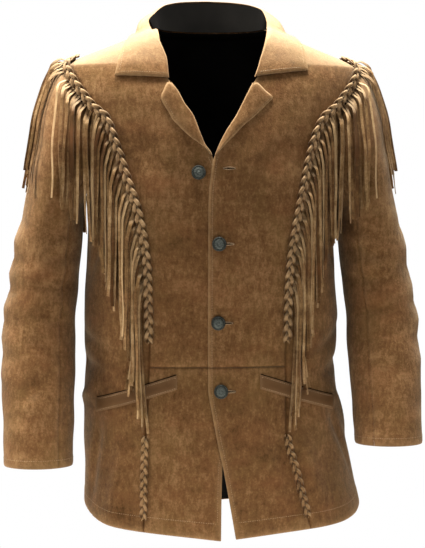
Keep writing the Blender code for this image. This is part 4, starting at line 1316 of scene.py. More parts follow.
def even_route(route, step):
    """The route again at equal steps along the torso surface."""
    run = running([torso(angle, z) for angle, z in route])
    goals = spread(0.0, run[-1], max(2, round(run[-1] / step)))
    return [tuple(Vector(route[i]).lerp(Vector(route[i + 1]), t)) for i, t in stations(run, goals)]


def travel(side, even, n):
    """Which way the route runs at its point n, and which way its outer edge lies, along the surface."""
    ahead = torso(*even[min(n + 1, len(even) - 1)]) - torso(*even[max(n - 1, 0)])
    normal = normal_at(*even[n])
    ahead = (ahead - normal * ahead.dot(normal)).normalized()
    return ahead, SIDES[side] * normal.cross(ahead)


def beside(side, even, n, off, out):
    """A point off to the route's outer side by this much, on the torso surface, then moved out."""
    angle, z = even[n]
    round_it, up, _ = torso_slopes(angle, z)
    shift = travel(side, even, n)[1] * off
    a, b, c = round_it.dot(round_it), round_it.dot(up), up.dot(up)
    p, q = shift.dot(round_it), shift.dot(up)
    scale = a * c - b * b
    return skin(angle + (p * c - q * b) / scale, z + (q * a - p * b) / scale, out)


def make_plait(name, node, side, even, size, light):
    """Three suede thongs plaited flat over the seam: each swings from side to side, over one and under one.

    Light is the share of rubbing and painted highlight on their tops; where a thong passes under another it
    is painted darker, as shade, and size scales the whole plait.
    """
    points, faces, tones_and_shades, wear_and_painted_light = [], [], [], []
    step = length_of([torso(*place) for place in even]) / (len(even) - 1)
    for thong in range(3):
        line, normals, radii = [], [], []
        for n in range(len(even)):
            phase = 2 * math.pi * (n * step / (size * PLAIT_PERIOD) + thong / 3)
            lift = BRAID_TIP_LIFT * smooth((even[n][1] + 0.110) / 0.030)
            off = size * PLAIT_SWING * math.sin(phase)
            out = size * (PLAIT_MIDDLE + PLAIT_RISE * math.sin(2 * phase)) + lift
            over = smooth((math.sin(2 * phase) + 0.5) / 1.3)
            # Thong tops are rubbed and carry a painted highlight; where a thong passes under, it is darkened
            # as painted shade.
            wear_and_painted_light += [light * over] * PLAIT_SIDES
            tones_and_shades += [0.06 - 0.05 * thong - 0.55 * (1 - over)] * PLAIT_SIDES
            line.append(beside(side, even, n, off, out))
            normals.append(normal_at(*even[n]))
            end = smooth((min(n, len(even) - 1 - n) + 0.6) / 4)
            radii.append((size * THONG_WIDTH / 2 * end, size * THONG_THICK / 2 * (0.5 + 0.5 * end)))
        tube(points, faces, line, radii, normals, sides=PLAIT_SIDES)
    made = build(name, points, faces, ("plait",), values={"tone_and_shade": tones_and_shades, "wear_and_painted_light": wear_and_painted_light}, smooth_angle=80)
    settle(made, "suede", node)


def make_plaits():
    for side in SIDES:
        high = even_route(braid_route(side, UPPER_BRAID_END_Z), PLAIT_STEP)
        make_plait(f"plait_{side}", f"braid_{side}", side, high, 1.0, 0.38)
        low = [(SIDES[side] * princess(side, z), z) for z in spread(*LOWER_BRAID_Z, 16)]
        low = even_route([(angle, level(z, angle)) for angle, z in low], PLAIT_STEP)
        make_plait(f"plait_low_{side}", f"braid_low_{side}", side, low, 0.85, 0.12)


def strand_length(z, front):
    """Strands are longest down the chest and shorter again at the bottom of the braid."""
    if not front:
        return STRAND_BACK
    chest = STRAND_CHEST * smooth((-0.130 - z) / 0.080)
    return STRAND_FRONT + chest - STRAND_LOW * smooth((-0.400 - z) / 0.080)


def cover(tree, point, normal):
    """How far the outermost wall stands above this point along the normal."""
    place = tree.ray_cast(point + normal * 0.06, -normal, 0.10)[0]
    return (place - point).dot(normal) if place else 0.0


def tip_share(place, root):
    """1 where a strand falls over the shoulder's tip and down outside the sleeve, 0 where it hangs freely."""
    low, high = TIP_Z if abs(place[0]) < 90 else (-0.125, -0.090)
    return smooth((root.z - low) / (high - low))


def strand_start(tree, side, even, n, root, layer):
    """Which way strand n faces and spreads, and its first knot, where it bends down from the strip."""
    normal = normal_at(*even[n])
    along, outer_way = travel(side, even, n)
    over_cap = tip_share(even[n], root)
    sideways = Vector((SIDES[side], 0, 0))
    ahead = Vector((0, -1, 0)) if normal.y < 0 else Vector((0, 1, 0))
    hung = flat(flat(normal).lerp(ahead, 0.65 * smooth((root.z + 0.18) / 0.05)))
    facing = flat(hung.lerp(sideways + 0.25 * ahead, over_cap))
    across = Vector((0, 0, 1)).cross(facing)
    if across.dot(along) < 0:
        across = -across
    sideways -= normal * sideways.dot(normal)
    outer_way = outer_way.lerp(sideways.normalized(), over_cap).normalized()
    spot = root + outer_way * (KNOT_OUT + 0.0060 * over_cap)
    spot.z -= KNOT_DOWN - 0.003 * over_cap
    need = 0.0
    for share, extra in (*((n / 10, 0.0) for n in range(3, 10)), (1.0, layer)):
        for slip in (-0.0035, 0.0, 0.0035):
            over = cover(tree, root.lerp(spot, share) + along * slip, normal)
            need = max(need, (over + STRAND_CLEAR * share + extra) / share)
    return facing, across, spot + normal * need, over_cap


def hang(tree, knot, facing, across, length, sideways, layer):
    """Centre points of one strand as it hangs: outside everything under it, and never back in."""
    fine = 40
    outs = []
    farthest = 0.0
    for n in range(1, fine + 1):
        drop = length * n / fine
        shift = -across * sideways * smooth(drop / 0.025)
        for edge in (-1.0, -0.5, 0.0, 0.5, 1.0):
            start = knot + shift + across * edge * STRAND_WIDTH + facing * RAY - Vector((0, 0, drop))
            place, normal, _, _ = tree.ray_cast(start, -facing, RAY + 0.06)
            if place:
                clear = STRAND_CLEAR / max(0.4, normal.dot(facing)) + layer
                farthest = max(farthest, (place - knot).dot(facing) + clear)
        outs.append(farthest)
    points = []
    for k in range(2, fine + 1, 2):
        nearby = outs[max(0, k - 6):k + 5]
        drop = length * k / fine
        shift = -across * sideways * smooth(drop / 0.025)
        out = max(outs[k - 1], sum(nearby) / len(nearby))
        points.append(knot + shift + facing * out - Vector((0, 0, drop)))
    return points


def side_shifts(even, turn_back):
    """How far each strand swings outwards, so that strands from the steep seam lie beside each other."""
    count = len(even) - 1
    shifts = [0.0] * count
    shifts[-1] = 0.002
    for n in range(count - 2, turn_back, -1):
        ahead = torso(*even[n + 1]) - torso(*even[n])
        normal = normal_at(*even[n])
        step = ahead.dot(flat(ahead - normal * ahead.dot(normal)))
        wanted = LEAST_SPACING if step < LEAST_SPACING else min(step, CLEAR_SPACING)
        shifts[n] = max(0.0, shifts[n + 1] + wanted - step)
    return [shift * smooth((-0.100 - z) / 0.050) for shift, (_, z) in zip(shifts, even)]


def strip_height(tree, side, even, n, offs):
    """How high the backing strip lies at point n to clear whatever is under it."""
    normal = normal_at(*even[n])
    along = travel(side, even, n)[0]
    height = max(
        cover(tree, beside(side, even, n, off, 0.0) + along * STRAND_PITCH * slip, normal)
        for off in offs
        for slip in (-1.0, -0.5, 0.0, 0.5, 1.0)
    )
    tip = STRIP_TIP_LIFT * smooth((even[n][1] + 0.085) / 0.020)
    return max(0.0, height) + STRIP_OFF + tip


def rounded(line):
    """The line with its corners cut, ends kept."""
    cut = [line[0]]
    for a, b in zip(line, line[1:]):
        cut += [a.lerp(b, 0.25), a.lerp(b, 0.75)]
    return [*cut, line[-1]]


def strand_line(place, n, start, hung, across, facing, over_cap):
    """The centre line of a strand, with its own sway, and the way its flat side looks at each point."""
    line = [*start, *hung]
    sway = wobble(n, 0.0080 + 0.0110 * smooth((-0.26 - place[1]) / 0.12))
    twist, curl = wobble(n + 31, 1.2), wobble(n + 57, 0.0022)
    moved, turns = [], []
    first, last = len(start) - 1, len(line) - 1
    ahead = across if across.y < 0 else -across
    open_out = 0.75 * over_cap * (1 if place[0] * place[0] < 8100 else -1)
    for i, point in enumerate(line):
        t = max(0.0, (i - first) / (last - first))
        bend = across * (sway * t * t + curl * math.sin(3.1 * math.pi * t) * t) + facing * abs(curl) * t
        moved.append(point + bend)
        turns.append(twist * t ** 1.4 + 0.3 * math.sin(5 * t + n) * t)
    surface = normal_at(*place)
    normals = []
    for i, turn in enumerate(turns):
        hanging = smooth((i - first + 2) / 4)
        open_way = facing * math.cos(open_out) + ahead * math.sin(open_out)
        side_way = across * math.cos(open_out) - facing * math.sin(open_out)
        look = open_way * math.cos(turn) + side_way * math.sin(turn)
        normals.append(surface.lerp(look, hanging).normalized())
    return rounded(moved), rounded(normals)


BOX_FACES = ((0, 1, 2, 3), (4, 7, 6, 5), (0, 4, 5, 1), (2, 6, 7, 3), (1, 5, 6, 2), (0, 3, 7, 4))


def add_strip(points, faces, even, strip):
    """The backing strip, as one flat box for each of its steps."""
    for n, (a, b) in enumerate(zip(strip, strip[1:])):
        start = len(points)
        lift_a = normal_at(*even[n]) * STRIP_THICK
        lift_b = normal_at(*even[n + 1]) * STRIP_THICK
        points += [a[0], a[1], b[1], b[0], a[0] + lift_a, a[1] + lift_a, b[1] + lift_b, b[0] + lift_b]
        faces += [tuple(start + k for k in face) for face in BOX_FACES]


def strand_radii(n, count):
    """Half-width and half-thickness along strand n, which is cut unevenly and a little wider at its end."""
    radii = []
    for i in range(count):
        t = i / (count - 1)
        uneven = 1.0 + 0.22 * wobble(n + 5, 1.0) + 0.10 * t + 0.05 * math.sin(9 * t + n)
        radii.append((STRAND_WIDTH / 2 * uneven, STRAND_THICK / 2))
    return radii


def make_fringe(side, even, tree):
    """A narrow strip beside the plait, cut below into hanging strands of uneven length and twist."""
    near, far = STRIP_NEAR, STRIP_FAR
    points, faces, strip = [], [], []
    for n in range(len(even)):
        height = strip_height(tree, side, even, n, (near, (near + far) / 2, far, far + 0.001))
        strip.append((beside(side, even, n, near, height), beside(side, even, n, far, height)))
    add_strip(points, faces, even, strip)
    # The backing strip is painted dark, as shade in the plait's gaps; the strands get uneven colours of their
    # own.
    tones_and_shades = [STRIP_PAINTED_SHADE] * len(points)
    turn_back = min(range(len(even)), key=lambda n: abs(abs(even[n][0]) - 90.0))
    shifts = side_shifts(even, turn_back)
    for n in range(len(even) - 1):
        lift = normal_at(*even[n]) * STRIP_THICK / 2
        root_in = (strip[n][0] + strip[n + 1][0]) / 2 + lift
        root = (strip[n][1] + strip[n + 1][1]) / 2
        if abs(even[n][0]) < 90 and WEDGE[0] < tip_share(even[n], root) < WEDGE[1]:
            continue
        length = strand_length(root.z, n >= turn_back) * (1 + wobble(n, STRAND_UNEVEN))
        run = torso(*even[n + 1]) - torso(*even[n])
        apart = abs(run.dot(Vector((0, 0, 1)).cross(flat(normal_at(*even[n])))))
        layer = LAYER_STEP * (3 * n % LAYERS) * (0.25 + 0.75 * smooth((CROWDED - apart) / 0.004))
        facing, across, knot, over_cap = strand_start(tree, side, even, n, root, layer)
        hung = hang(tree, knot, facing, across, length, shifts[n], layer)
        start = [root_in, root + lift, (root + lift).lerp(knot, 0.6), knot]
        centres, normals = strand_line(even[n], n, start, hung, across, facing, over_cap)
        before = len(points)
        tube(points, faces, centres, strand_radii(n, len(centres)), normals)
        tones_and_shades += [wobble(n + 11, 0.45)] * (len(points) - before)
    values = {"tone_and_shade": tones_and_shades, "wear_and_painted_light": [0.0] * len(points)}
    made = build(f"fringe_strands_{side}", points, faces, ("fringe",), values=values, smooth_angle=35)
    settle(made, "fringe", f"fringe_{side}")


def cloth_tree(kinds):
    """The outer faces of these pieces, for finding what lies under a strand."""
    points, faces = [], []
    for name, own_points, own_faces in OUTER_FACES:
        if name.startswith(kinds):
            start = len(points)
            points += own_points
            faces += [[start + k for k in face] for face in own_faces]
    return BVHTree.FromPolygons(points, faces)


def make_fringes():
    tree = cloth_tree(("upper_", "lower_", "side_", "yoke", "top_", "under_", "welt_"))
    for side in SIDES:
        make_fringe(side, even_route(braid_route(side, FRINGE_END_Z)[2:], STRAND_PITCH), tree)


def add_stitches(points, faces, line, normals):
    """Short rounded stitches along a line, each sunk half into the cloth."""
    run = running(line)
    starts = [n * STITCH_PITCH for n in range(int(run[-1] / STITCH_PITCH))]
    goals = [start + share * STITCH_LENGTH for start in starts for share in (0.0, 0.5, 1.0)]
    spots = [(line[i].lerp(line[i + 1], t), normals[i]) for i, t in stations(run, goals)]
    radii = [(STITCH_RADIUS * share,) * 2 for share in (0.6, 1.0, 0.6)]
    for n in range(0, len(spots), 3):
        stitch = spots[n:n + 3]
        centres = [place + normal * out for (place, normal), out in zip(stitch, STITCH_OUT)]
        tube(points, faces, centres, radii, [normal for _, normal in stitch], sides=5)


def draped_line(side, places, out):
    """Points this far out of the draped torso, and normals, for angles and heights on one front."""
    line = [skin(angle, z, out + underlap(side, angle, z)) for angle, z in places]
    return line, [normal_at(angle, z) for angle, z in places]


def front_edge_places(side, inset, high, low):
    """Angles and heights along a front edge, this far in from it."""
    places = []
    for z in spread(high, low, 150):
        x = FRONT_EDGE.at(side, z) + SIDES[side] * inset
        angle = angle_at(z, x)
        places.append((angle, level(z, angle)))
    return places


def finish_stitches(name, lines):
    points, faces = [], []
    for line, normals in lines:
        add_stitches(points, faces, line, normals)
    made = build(name, points, faces, ("thread",), values={"tone_and_shade": [0.0] * len(points)}, smooth_angle=60)
    settle(made, "suede")


def front_stitches(side):
    places = front_edge_places(side, EDGE_BAND, *FRONT_STITCHES_Z)
    return [draped_line(side, places, TURN_UP * 0.6)]


def hem_stitches(side):
    first = front_inner(side, HEM_ROW + HEM_BAND) + 1.0
    angles = [SIDES[side] * angle for angle in spread(first, 179.0, 260)]
    places = [(angle, level(HEM_ROW + HEM_BAND, angle)) for angle in angles]
    return [draped_line(side, places, TURN_UP * 0.5)]


def cuff_stitches(side):
    z = CUFF_Z[side] + CUFF_BAND
    ring = sleeve_ring(side, z, SLEEVE_WALL)
    above, below = sleeve_ring(side, z + 0.002, 0.0), sleeve_ring(side, z - 0.002, 0.0)
    normals = ring_normals([above, ring, below])[1]
    line = [p + n * (SLEEVE_WALL + TURN_UP * 0.5) for p, n in zip(ring, normals)]
    return [([*line, line[0]], [*normals, normals[0]])]


def pocket_stitches(side):
    """Stitches round each welt: along its two long edges, then up its ends."""
    inset = WELT_STITCH_INSET
    run = math.dist(POCKET_INNER, POCKET_OUTER)
    out = LAID_GAP + SUEDE + 0.0001
    lines = []
    for drop in (inset, WELT_HEIGHT - inset):
        shares = spread(inset / run, 1 - inset / run, 60)
        line = [welt_place(side, share, drop, out) for share in shares]
        lines.append((line, [welt_normal(side, share, drop) for share in shares]))
    for share in (inset / run, 1 - inset / run):
        drops = spread(inset, WELT_HEIGHT - inset, 12)
        line = [welt_place(side, share, drop, out) for drop in drops]
        lines.append((line, [welt_normal(side, share, WELT_HEIGHT / 2)] * len(drops)))
    return lines


def make_stitching():
    """Rows of stitches along the front edges, hem, cuffs and pocket welts."""
    rows = {"fronts": front_stitches, "hem": hem_stitches, "cuffs": cuff_stitches, "pockets": pocket_stitches}
    for name, stitches in rows.items():
        finish_stitches(f"stitching_{name}", [line for side in SIDES for line in stitches(side)])


def make_collar_stitching():
    """Stitches a few millimetres in from the edges of the collar and the lapels."""
    body = torso_tree()
    first = len(FOLD_TURNS) + 1
    last = first + 10
    row, normals = [], []
    for side, part in COLLAR_PARTS:
        if part <= 0.975:
            tops, bottoms = fall_line(body, side, part)
            row.append(tops[last].lerp(tops[last + 1], 0.4))
            normals.append((tops[last] - bottoms[last]).normalized())
    lines = [(row, normals)]
    for side in SIDES:
        tops, bottoms = (line[first:last + 1] for line in fall_line(body, side, 0.972))
        lines.append((tops, [(a - b).normalized() for a, b in zip(tops, bottoms)]))
        places = []
        for z in spread(-0.1185, -0.190, 40):
            width = LAPEL.at(side, z)
            if width >= 0.009:
                x = SIDES[side] * (SIDES[side] * FRONT_EDGE.at(side, z) + width - 0.005)
                places.append((angle_at(z, x), z))
        lines.append(draped_line(side, places, LAID_GAP + SUEDE + 0.0003))
    finish_stitches("stitching_collar", lines)


def new_group(name, inputs, outputs):
    """An empty shader group with its own sockets."""
    tree = bpy.data.node_groups.new(name, "ShaderNodeTree")
    for label, value in inputs.items():
        socket = tree.interface.new_socket(label, in_out="INPUT", socket_type="NodeSocketFloat")
        socket.default_value = value
    for label in outputs:
        tree.interface.new_socket(label, in_out="OUTPUT", socket_type="NodeSocketFloat")
    return tree, put(tree, "NodeGroupInput"), put(tree, "NodeGroupOutput")


def put(tree, kind, settings=None, **inputs):
    """Adds a node. Its inputs are values or the sockets that feed them, by name with _ for a space, or by
    number after an i.
    """
    node = tree.nodes.new(kind)
    for key, value in (settings or {}).items():
        setattr(node, key, value)
    for key, value in inputs.items():
        socket = node.inputs[int(key[1:]) if key[1:].isdigit() else key.replace("_", " ")]
        if isinstance(value, bpy.types.NodeSocket):
            tree.links.new(value, socket)
        else:
            socket.default_value = value
    return node


def sums(tree, operation, a, b=0.0, clamp=False):
    return put(tree, "ShaderNodeMath", {"operation": operation, "use_clamp": clamp}, i0=a, i1=b).outputs[0]


def weighted(tree, *pairs):
    """The sum of some values, each times its weight."""
    parts = [sums(tree, "MULTIPLY", value, weight) for value, weight in pairs]
    total = parts[0]
    for part in parts[1:]:
        total = sums(tree, "ADD", total, part)
    return total


def above(tree, value, middle, gain, rest=0.0):
    """How far a value lies above its middle, times a gain, on top of the rest and kept between 0 and 1."""
    return put(
        tree, "ShaderNodeMath", {"operation": "MULTIPLY_ADD", "use_clamp": True},
        i0=sums(tree, "SUBTRACT", value, middle), i1=gain, i2=rest,
    ).outputs[0]


def noise(tree, vector, scale, detail, rough=0.5):
    node = put(tree, "ShaderNodeTexNoise", Vector=vector, Scale=scale, Detail=detail, Roughness=rough)
    return node.outputs["Fac"]


def stretched(tree, vector, x, y, z):
    return put(tree, "ShaderNodeMapping", None, Vector=vector, Scale=(x, y, z)).outputs["Vector"]


def object_place(tree):
    return put(tree, "ShaderNodeTexCoord").outputs["Object"]


def scaled_place(tree, given):
    """The place on the object, times the group's fineness."""
    return put(
        tree, "ShaderNodeVectorMath", {"operation": "SCALE"},
        Vector=object_place(tree), Scale=given.outputs["Fineness"],
    ).outputs[0]


def nap_group():
    """Brushed nap: short fibres and flecks, and the height that they give."""
    tree, given, made = new_group("brushed nap", {"Fineness": 1.0}, ("Fleck", "Height"))
    place = scaled_place(tree, given)
    fibre = noise(tree, stretched(tree, place, 1.0, 1.0, 0.35), 1100.0, 3.0, 0.7)
    tuft = noise(tree, place, 300.0, 4.0, 0.7)
    brushed = noise(tree, stretched(tree, place, 1.0, 1.0, 0.5), 140.0, 4.0, 0.7)
    height = weighted(tree, (fibre, 0.40), (tuft, 0.60))
    flecks = weighted(tree, (height, 0.50), (brushed, 0.50))
    tree.links.new(above(tree, flecks, 0.5, 2.6, 0.5), made.inputs["Fleck"])
    tree.links.new(height, made.inputs["Height"])
    return tree


def cloud_group():
    """Slow light and dark patches where the hide took the dye unevenly, and redder and more olive ones."""
    tree, given, made = new_group("hide clouds", {"Depth": 1.0}, ("Cloud", "Red", "Olive"))
    place = object_place(tree)
    wide = noise(tree, stretched(tree, place, 0.8, 0.8, 1.2), 9.0, 3.0, 0.55)
    middle = noise(tree, stretched(tree, place, 0.6, 0.6, 1.3), 34.0, 4.0, 0.65)
    small = noise(tree, stretched(tree, place, 0.7, 0.7, 1.2), 95.0, 4.0, 0.7)
    patches = weighted(tree, (wide, 0.40), (middle, 0.38), (small, 0.22))
    centred = sums(tree, "MULTIPLY", sums(tree, "SUBTRACT", patches, 0.5), given.outputs["Depth"])
    # Each piece's own tone, which also holds painted shade in seam grooves, on the fringe's backing strip and
    # where plait thongs pass under.
    tone_and_shade = put(tree, "ShaderNodeAttribute", {"attribute_name": "tone_and_shade"}).outputs["Fac"]
    total = weighted(tree, (sums(tree, "ADD", centred, 0.5), 1.0), (tone_and_shade, 0.8))
    tree.links.new(total, made.inputs["Cloud"])
    red = noise(tree, stretched(tree, place, 1.0, 1.1, 1.6), 17.0, 4.0, 0.6)
    olive = noise(tree, stretched(tree, place, 1.3, 0.9, 1.1), 14.0, 4.0, 0.6)
    for value, name in ((red, "Red"), (olive, "Olive")):
        tree.links.new(above(tree, value, 0.48, 3.2), made.inputs[name])
    return tree


def edge_group():
    """Where edges are rubbed, and where the plait's tops carry a painted highlight, broken up by the grain.
    """
    tree, given, made = new_group("rubbed edge", {"Amount": 1.0}, ("Mask",))
    place = object_place(tree)
    wear_and_painted_light = put(tree, "ShaderNodeAttribute", {"attribute_name": "wear_and_painted_light"}).outputs["Fac"]
    grain = noise(tree, place, 260.0, 4.0, 0.65)
    broken = sums(tree, "MULTIPLY", wear_and_painted_light, sums(tree, "ADD", grain, 0.35), True)
    tree.links.new(sums(tree, "MULTIPLY", broken, given.outputs["Amount"], True), made.inputs["Mask"])
    return tree


def leather_grain_group():
    """Smooth leather's pebble grain."""
    tree, given, made = new_group("leather grain", {"Fineness": 1.0}, ("Height",))
    place = scaled_place(tree, given)
    cells = put(tree, "ShaderNodeTexVoronoi", {"feature": "SMOOTH_F1"}, Vector=place, Scale=700.0)
    lumps = noise(tree, place, 160.0, 3.0)
    tree.links.new(weighted(tree, (cells.outputs["Distance"], 1.0), (lumps, 0.6)), made.inputs["Height"])
    return tree


def ramp(tree, value, *stops):
    """Colours along a value from 0 to 1."""
    node = put(tree, "ShaderNodeValToRGB", None, Fac=value)
    elements = node.color_ramp.elements
    while len(elements) < len(stops):
        elements.new(0.5)
    for element, (place, colour) in zip(elements, stops):
        element.position = place
        element.color = (*colour, 1.0)
    return node.outputs["Color"]


def new_material(name, roughness, metallic=0.0, specular=0.5, sheen=0.0, sheen_colour=(1.0, 0.8, 0.6)):
    made = bpy.data.materials.new(name)
    made.use_nodes = True
    shader = made.node_tree.nodes["Principled BSDF"]
    shader.inputs["Roughness"].default_value = roughness
    shader.inputs["Metallic"].default_value = metallic
    shader.inputs["Specular IOR Level"].default_value = specular
    shader.inputs["Sheen Weight"].default_value = sheen
    shader.inputs["Sheen Roughness"].default_value = 0.45
    shader.inputs["Sheen Tint"].default_value = (*sheen_colour, 1.0)
    return made, made.node_tree, shader


def use(tree, group, **inputs):
    return put(tree, "ShaderNodeGroup", {"node_tree": GROUPS[group]}, **inputs)


def mixed(tree, factor, a, b):
    """A colour between two others."""
    node = put(tree, "ShaderNodeMix", {"data_type": "RGBA"})
    for socket, value in ((node.inputs[0], factor), (node.inputs[6], a), (node.inputs[7], b)):
        if isinstance(value, bpy.types.NodeSocket):
            tree.links.new(value, socket)
        else:
            socket.default_value = (*value, 1.0)
    return node.outputs[2]


def join(tree, shader, colour, height, strength, distance):
    """Joins a colour and a relief to the shader."""
    tree.links.new(colour, shader.inputs["Base Color"])
    bump = put(tree, "ShaderNodeBump", None, Strength=strength, Distance=distance, Height=height)
    tree.links.new(bump.outputs["Normal"], shader.inputs["Normal"])


def suede_finish(name, dark, plain, light, rubbed, depth=1.25):
    """Brushed suede in three shades. Where it faces up it is painted paler, as painted light from above; it
    is paler where it is rubbed, and on the plait's tops as a painted highlight.
    """
    made, tree, shader = new_material(name, 0.93, specular=0.05, sheen=0.16, sheen_colour=(0.95, 0.86, 0.68))
    nap = use(tree, "nap", Fineness=1.0)
    cloud = use(tree, "clouds", Depth=depth)
    edge = use(tree, "edge", Amount=0.55)
    shade = weighted(tree, (cloud.outputs["Cloud"], 0.62), (nap.outputs["Fleck"], 0.38))
    colour = ramp(tree, shade, (0.30, dark), (0.50, plain), (0.70, light))
    red = mixed(tree, sums(tree, "MULTIPLY", cloud.outputs["Red"], 0.45), colour, RED_PATCH)
    olive = mixed(tree, sums(tree, "MULTIPLY", cloud.outputs["Olive"], 0.40), red, OLIVE_PATCH)
    # Painted light from above: surfaces whose normal points up are mixed towards a pale colour.
    normal = put(tree, "ShaderNodeNewGeometry").outputs["Normal"]
    facing = put(tree, "ShaderNodeSeparateXYZ", None, Vector=normal)
    top_light_mask = above(tree, facing.outputs["Z"], 0.30, 1.6)
    top_lit = mixed(tree, sums(tree, "MULTIPLY", top_light_mask, TOP_LIGHT_SHARE), olive, TOP_LIGHT_COLOUR)
    colour = mixed(tree, edge.outputs["Mask"], top_lit, rubbed)
    join(tree, shader, colour, nap.outputs["Height"], 0.8, 0.0014)
    return made


def welt_finish():
    """Smoother leather with a low gloss and a fine grain."""
    made, tree, shader = new_material("pocket leather", 0.74, specular=0.10)
    grain = use(tree, "grain", Fineness=1.0)
    cloud = use(tree, "clouds", Depth=0.8)
    edge = use(tree, "edge", Amount=0.5)
    colour = ramp(tree, cloud.outputs["Cloud"], (0.3, (0.060, 0.028, 0.011)), (0.7, (0.115, 0.058, 0.023)))
    colour = mixed(tree, edge.outputs["Mask"], colour, (0.260, 0.155, 0.078))
    join(tree, shader, colour, grain.outputs["Height"], 0.25, 0.0005)
    return made


def lining_finish():
    """Dark matt twill lining, also used for the dark sheets of painted shade in pocket mouths and buttonhole
    slits.
    """
    made, tree, shader = new_material("lining", 0.95, specular=0.05)
    place = object_place(tree)
    twill = put(
        tree, "ShaderNodeTexWave", {"bands_direction": "DIAGONAL"}, Vector=place, Scale=420.0, Distortion=0.4,
    )
    patches = noise(tree, place, 14.0, 3.0)
    colour = ramp(tree, patches, (0.35, (0.0020, 0.0018, 0.0016)), (0.7, (0.0050, 0.0045, 0.0040)))
    join(tree, shader, colour, twill.outputs["Fac"], 0.2, 0.0003)
    return made


def metal_finish():
    """Aged dark metal, brighter where the raised parts are rubbed."""
    made, tree, shader = new_material("button metal", 0.46, metallic=0.85)
    place = object_place(tree)
    age = noise(tree, place, 420.0, 4.0, 0.6)
    edge = use(tree, "edge", Amount=1.0)
    colour = ramp(tree, age, (0.35, (0.022, 0.025, 0.022)), (0.65, (0.052, 0.057, 0.050)))
    colour = mixed(tree, edge.outputs["Mask"], colour, (0.100, 0.112, 0.104))
    tree.links.new(ramp(tree, age, (0.3, (0.52,) * 3), (0.7, (0.72,) * 3)), shader.inputs["Roughness"])
    join(tree, shader, colour, age, 0.2, 0.0003)
    return made


def thread_finish():
    """Twisted sewing thread, a little lighter than the suede."""
    made, tree, shader = new_material("thread", 0.7)
    place = object_place(tree)
    plies = put(tree, "ShaderNodeTexWave", {"bands_direction": "DIAGONAL"}, Vector=place, Scale=1500.0)
    colour = ramp(tree, plies.outputs["Fac"], (0.2, (0.170, 0.105, 0.052)), (0.8, (0.380, 0.260, 0.150)))
    join(tree, shader, colour, plies.outputs["Fac"], 0.3, 0.0002)
    return made


def make_stage():
    """A wide pale floor below the jacket, soft studio light and a pale surround."""
    bpy.ops.mesh.primitive_circle_add(vertices=96, radius=1.0, fill_type="NGON", location=(0, 0, FLOOR_Z))
    floor = bpy.context.object
    floor.name = "floor"
    made, _, shader = new_material("pale floor", 0.9)
    shader.inputs["Base Color"].default_value = (0.90, 0.90, 0.89, 1.0)
    floor.data.materials.append(made)
    world = bpy.data.worlds.new("surround")
    world.use_nodes = True
    tree = world.node_tree
    sky = tree.nodes["Background"]
    sky.inputs["Color"].default_value = (1.0, 0.98, 0.95, 1.0)
    sky.inputs["Strength"].default_value = SURROUND
    white = put(tree, "ShaderNodeBackground", None, Strength=1.0)
    seen = put(tree, "ShaderNodeLightPath").outputs["Is Camera Ray"]
    both = put(tree, "ShaderNodeMixShader", None, i0=seen, i1=sky.outputs[0], i2=white.outputs[0])
    white.inputs["Color"].default_value = (1.0, 1.0, 1.0, 1.0)
    tree.links.new(both.outputs[0], tree.nodes["World Output"].inputs["Surface"])
    bpy.context.scene.world = world
    bpy.context.scene.view_settings.view_transform = "Standard"


def area_light(name, place, target, size, power, colour):
    data = bpy.data.lights.new(name, "AREA")
    data.shape = "DISK"
    data.size = size
    data.energy = power
    data.color = colour
    light = bpy.data.objects.new(name, data)
    light.location = place
    light.rotation_mode = "QUATERNION"
    light.rotation_quaternion = (Vector(target) - Vector(place)).to_track_quat("-Z", "Y")
    bpy.context.scene.collection.objects.link(light)


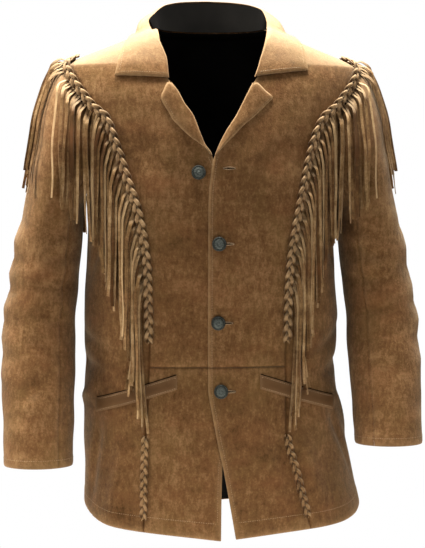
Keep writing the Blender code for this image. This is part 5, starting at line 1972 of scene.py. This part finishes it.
def make_lights():
    middle, high = (0.0, 0.0, -0.35), (0.0, 0.0, -0.10)
    area_light("overhead", (-0.05, 0.02, 2.20), (0.0, 0.0, -0.2), 0.7, 330.0, (1.0, 0.96, 0.88))
    area_light("key", (-1.6, -1.9, 1.3), middle, 0.9, 14.0, (1.0, 0.97, 0.93))
    area_light("side_left", (1.9, 0.1, 1.1), high, 0.6, 22.0, (1.0, 0.95, 0.84))
    area_light("side_right", (-1.8, 0.2, 1.1), high, 0.6, 88.0, (1.0, 0.95, 0.84))
    area_light("back_fill", (1.2, 2.4, 0.6), middle, 1.4, 10.0, (1.0, 0.97, 0.93))


def make_camera():
    """The photograph's own angle: a little to the jacket's right, at chest height, looking slightly down."""
    turn = math.radians(CAMERA_TURN)
    tilt = math.atan((PHOTO_HEIGHT / 2 - EYE_ROW) / FOCAL_PIXELS)
    data = bpy.data.cameras.new("camera")
    data.lens = CAMERA_LENS
    data.sensor_width = 36.0
    data.sensor_fit = "AUTO"
    data.shift_x = SHIFT_PIXELS / PHOTO_HEIGHT
    camera = bpy.data.objects.new("camera", data)
    camera.location = (math.sin(turn) * CAMERA_AWAY, -math.cos(turn) * CAMERA_AWAY, CAMERA_Z)
    ahead = Vector((-math.sin(turn) * math.cos(tilt), math.cos(turn) * math.cos(tilt), -math.sin(tilt)))
    camera.rotation_mode = "QUATERNION"
    camera.rotation_quaternion = ahead.to_track_quat("-Z", "Y")
    bpy.context.scene.collection.objects.link(camera)
    bpy.context.scene.camera = camera


GROUPS = {
    "nap": nap_group(),
    "clouds": cloud_group(),
    "edge": edge_group(),
    "grain": leather_grain_group(),
}
FINISHES = {
    "suede": suede_finish(
        "suede", (0.062, 0.027, 0.009), (0.138, 0.067, 0.025), (0.262, 0.148, 0.067), (0.360, 0.230, 0.118)
    ),
    # The plait's rubbed colour is also its painted highlight on the thong tops.
    "plait": suede_finish(
        "plaited suede", (0.060, 0.028, 0.010), (0.200, 0.110, 0.046), (0.380, 0.245, 0.128),
        (0.560, 0.400, 0.240), depth=1.6,
    ),
    "fringe": suede_finish(
        "fringe suede", (0.070, 0.032, 0.012), (0.205, 0.115, 0.048), (0.400, 0.262, 0.135),
        (0.420, 0.280, 0.150), depth=1.6,
    ),
    "welt": welt_finish(),
    "lining": lining_finish(),
    "metal": metal_finish(),
    "thread": thread_finish(),
}
make_stage()
make_camera()
make_lights()
make_fronts()
make_back()
make_sleeves()
make_collar()
make_lapels()
make_pockets()
make_buttons()
make_buttonholes()
make_plaits()
make_fringes()
make_stitching()
make_collar_stitching()
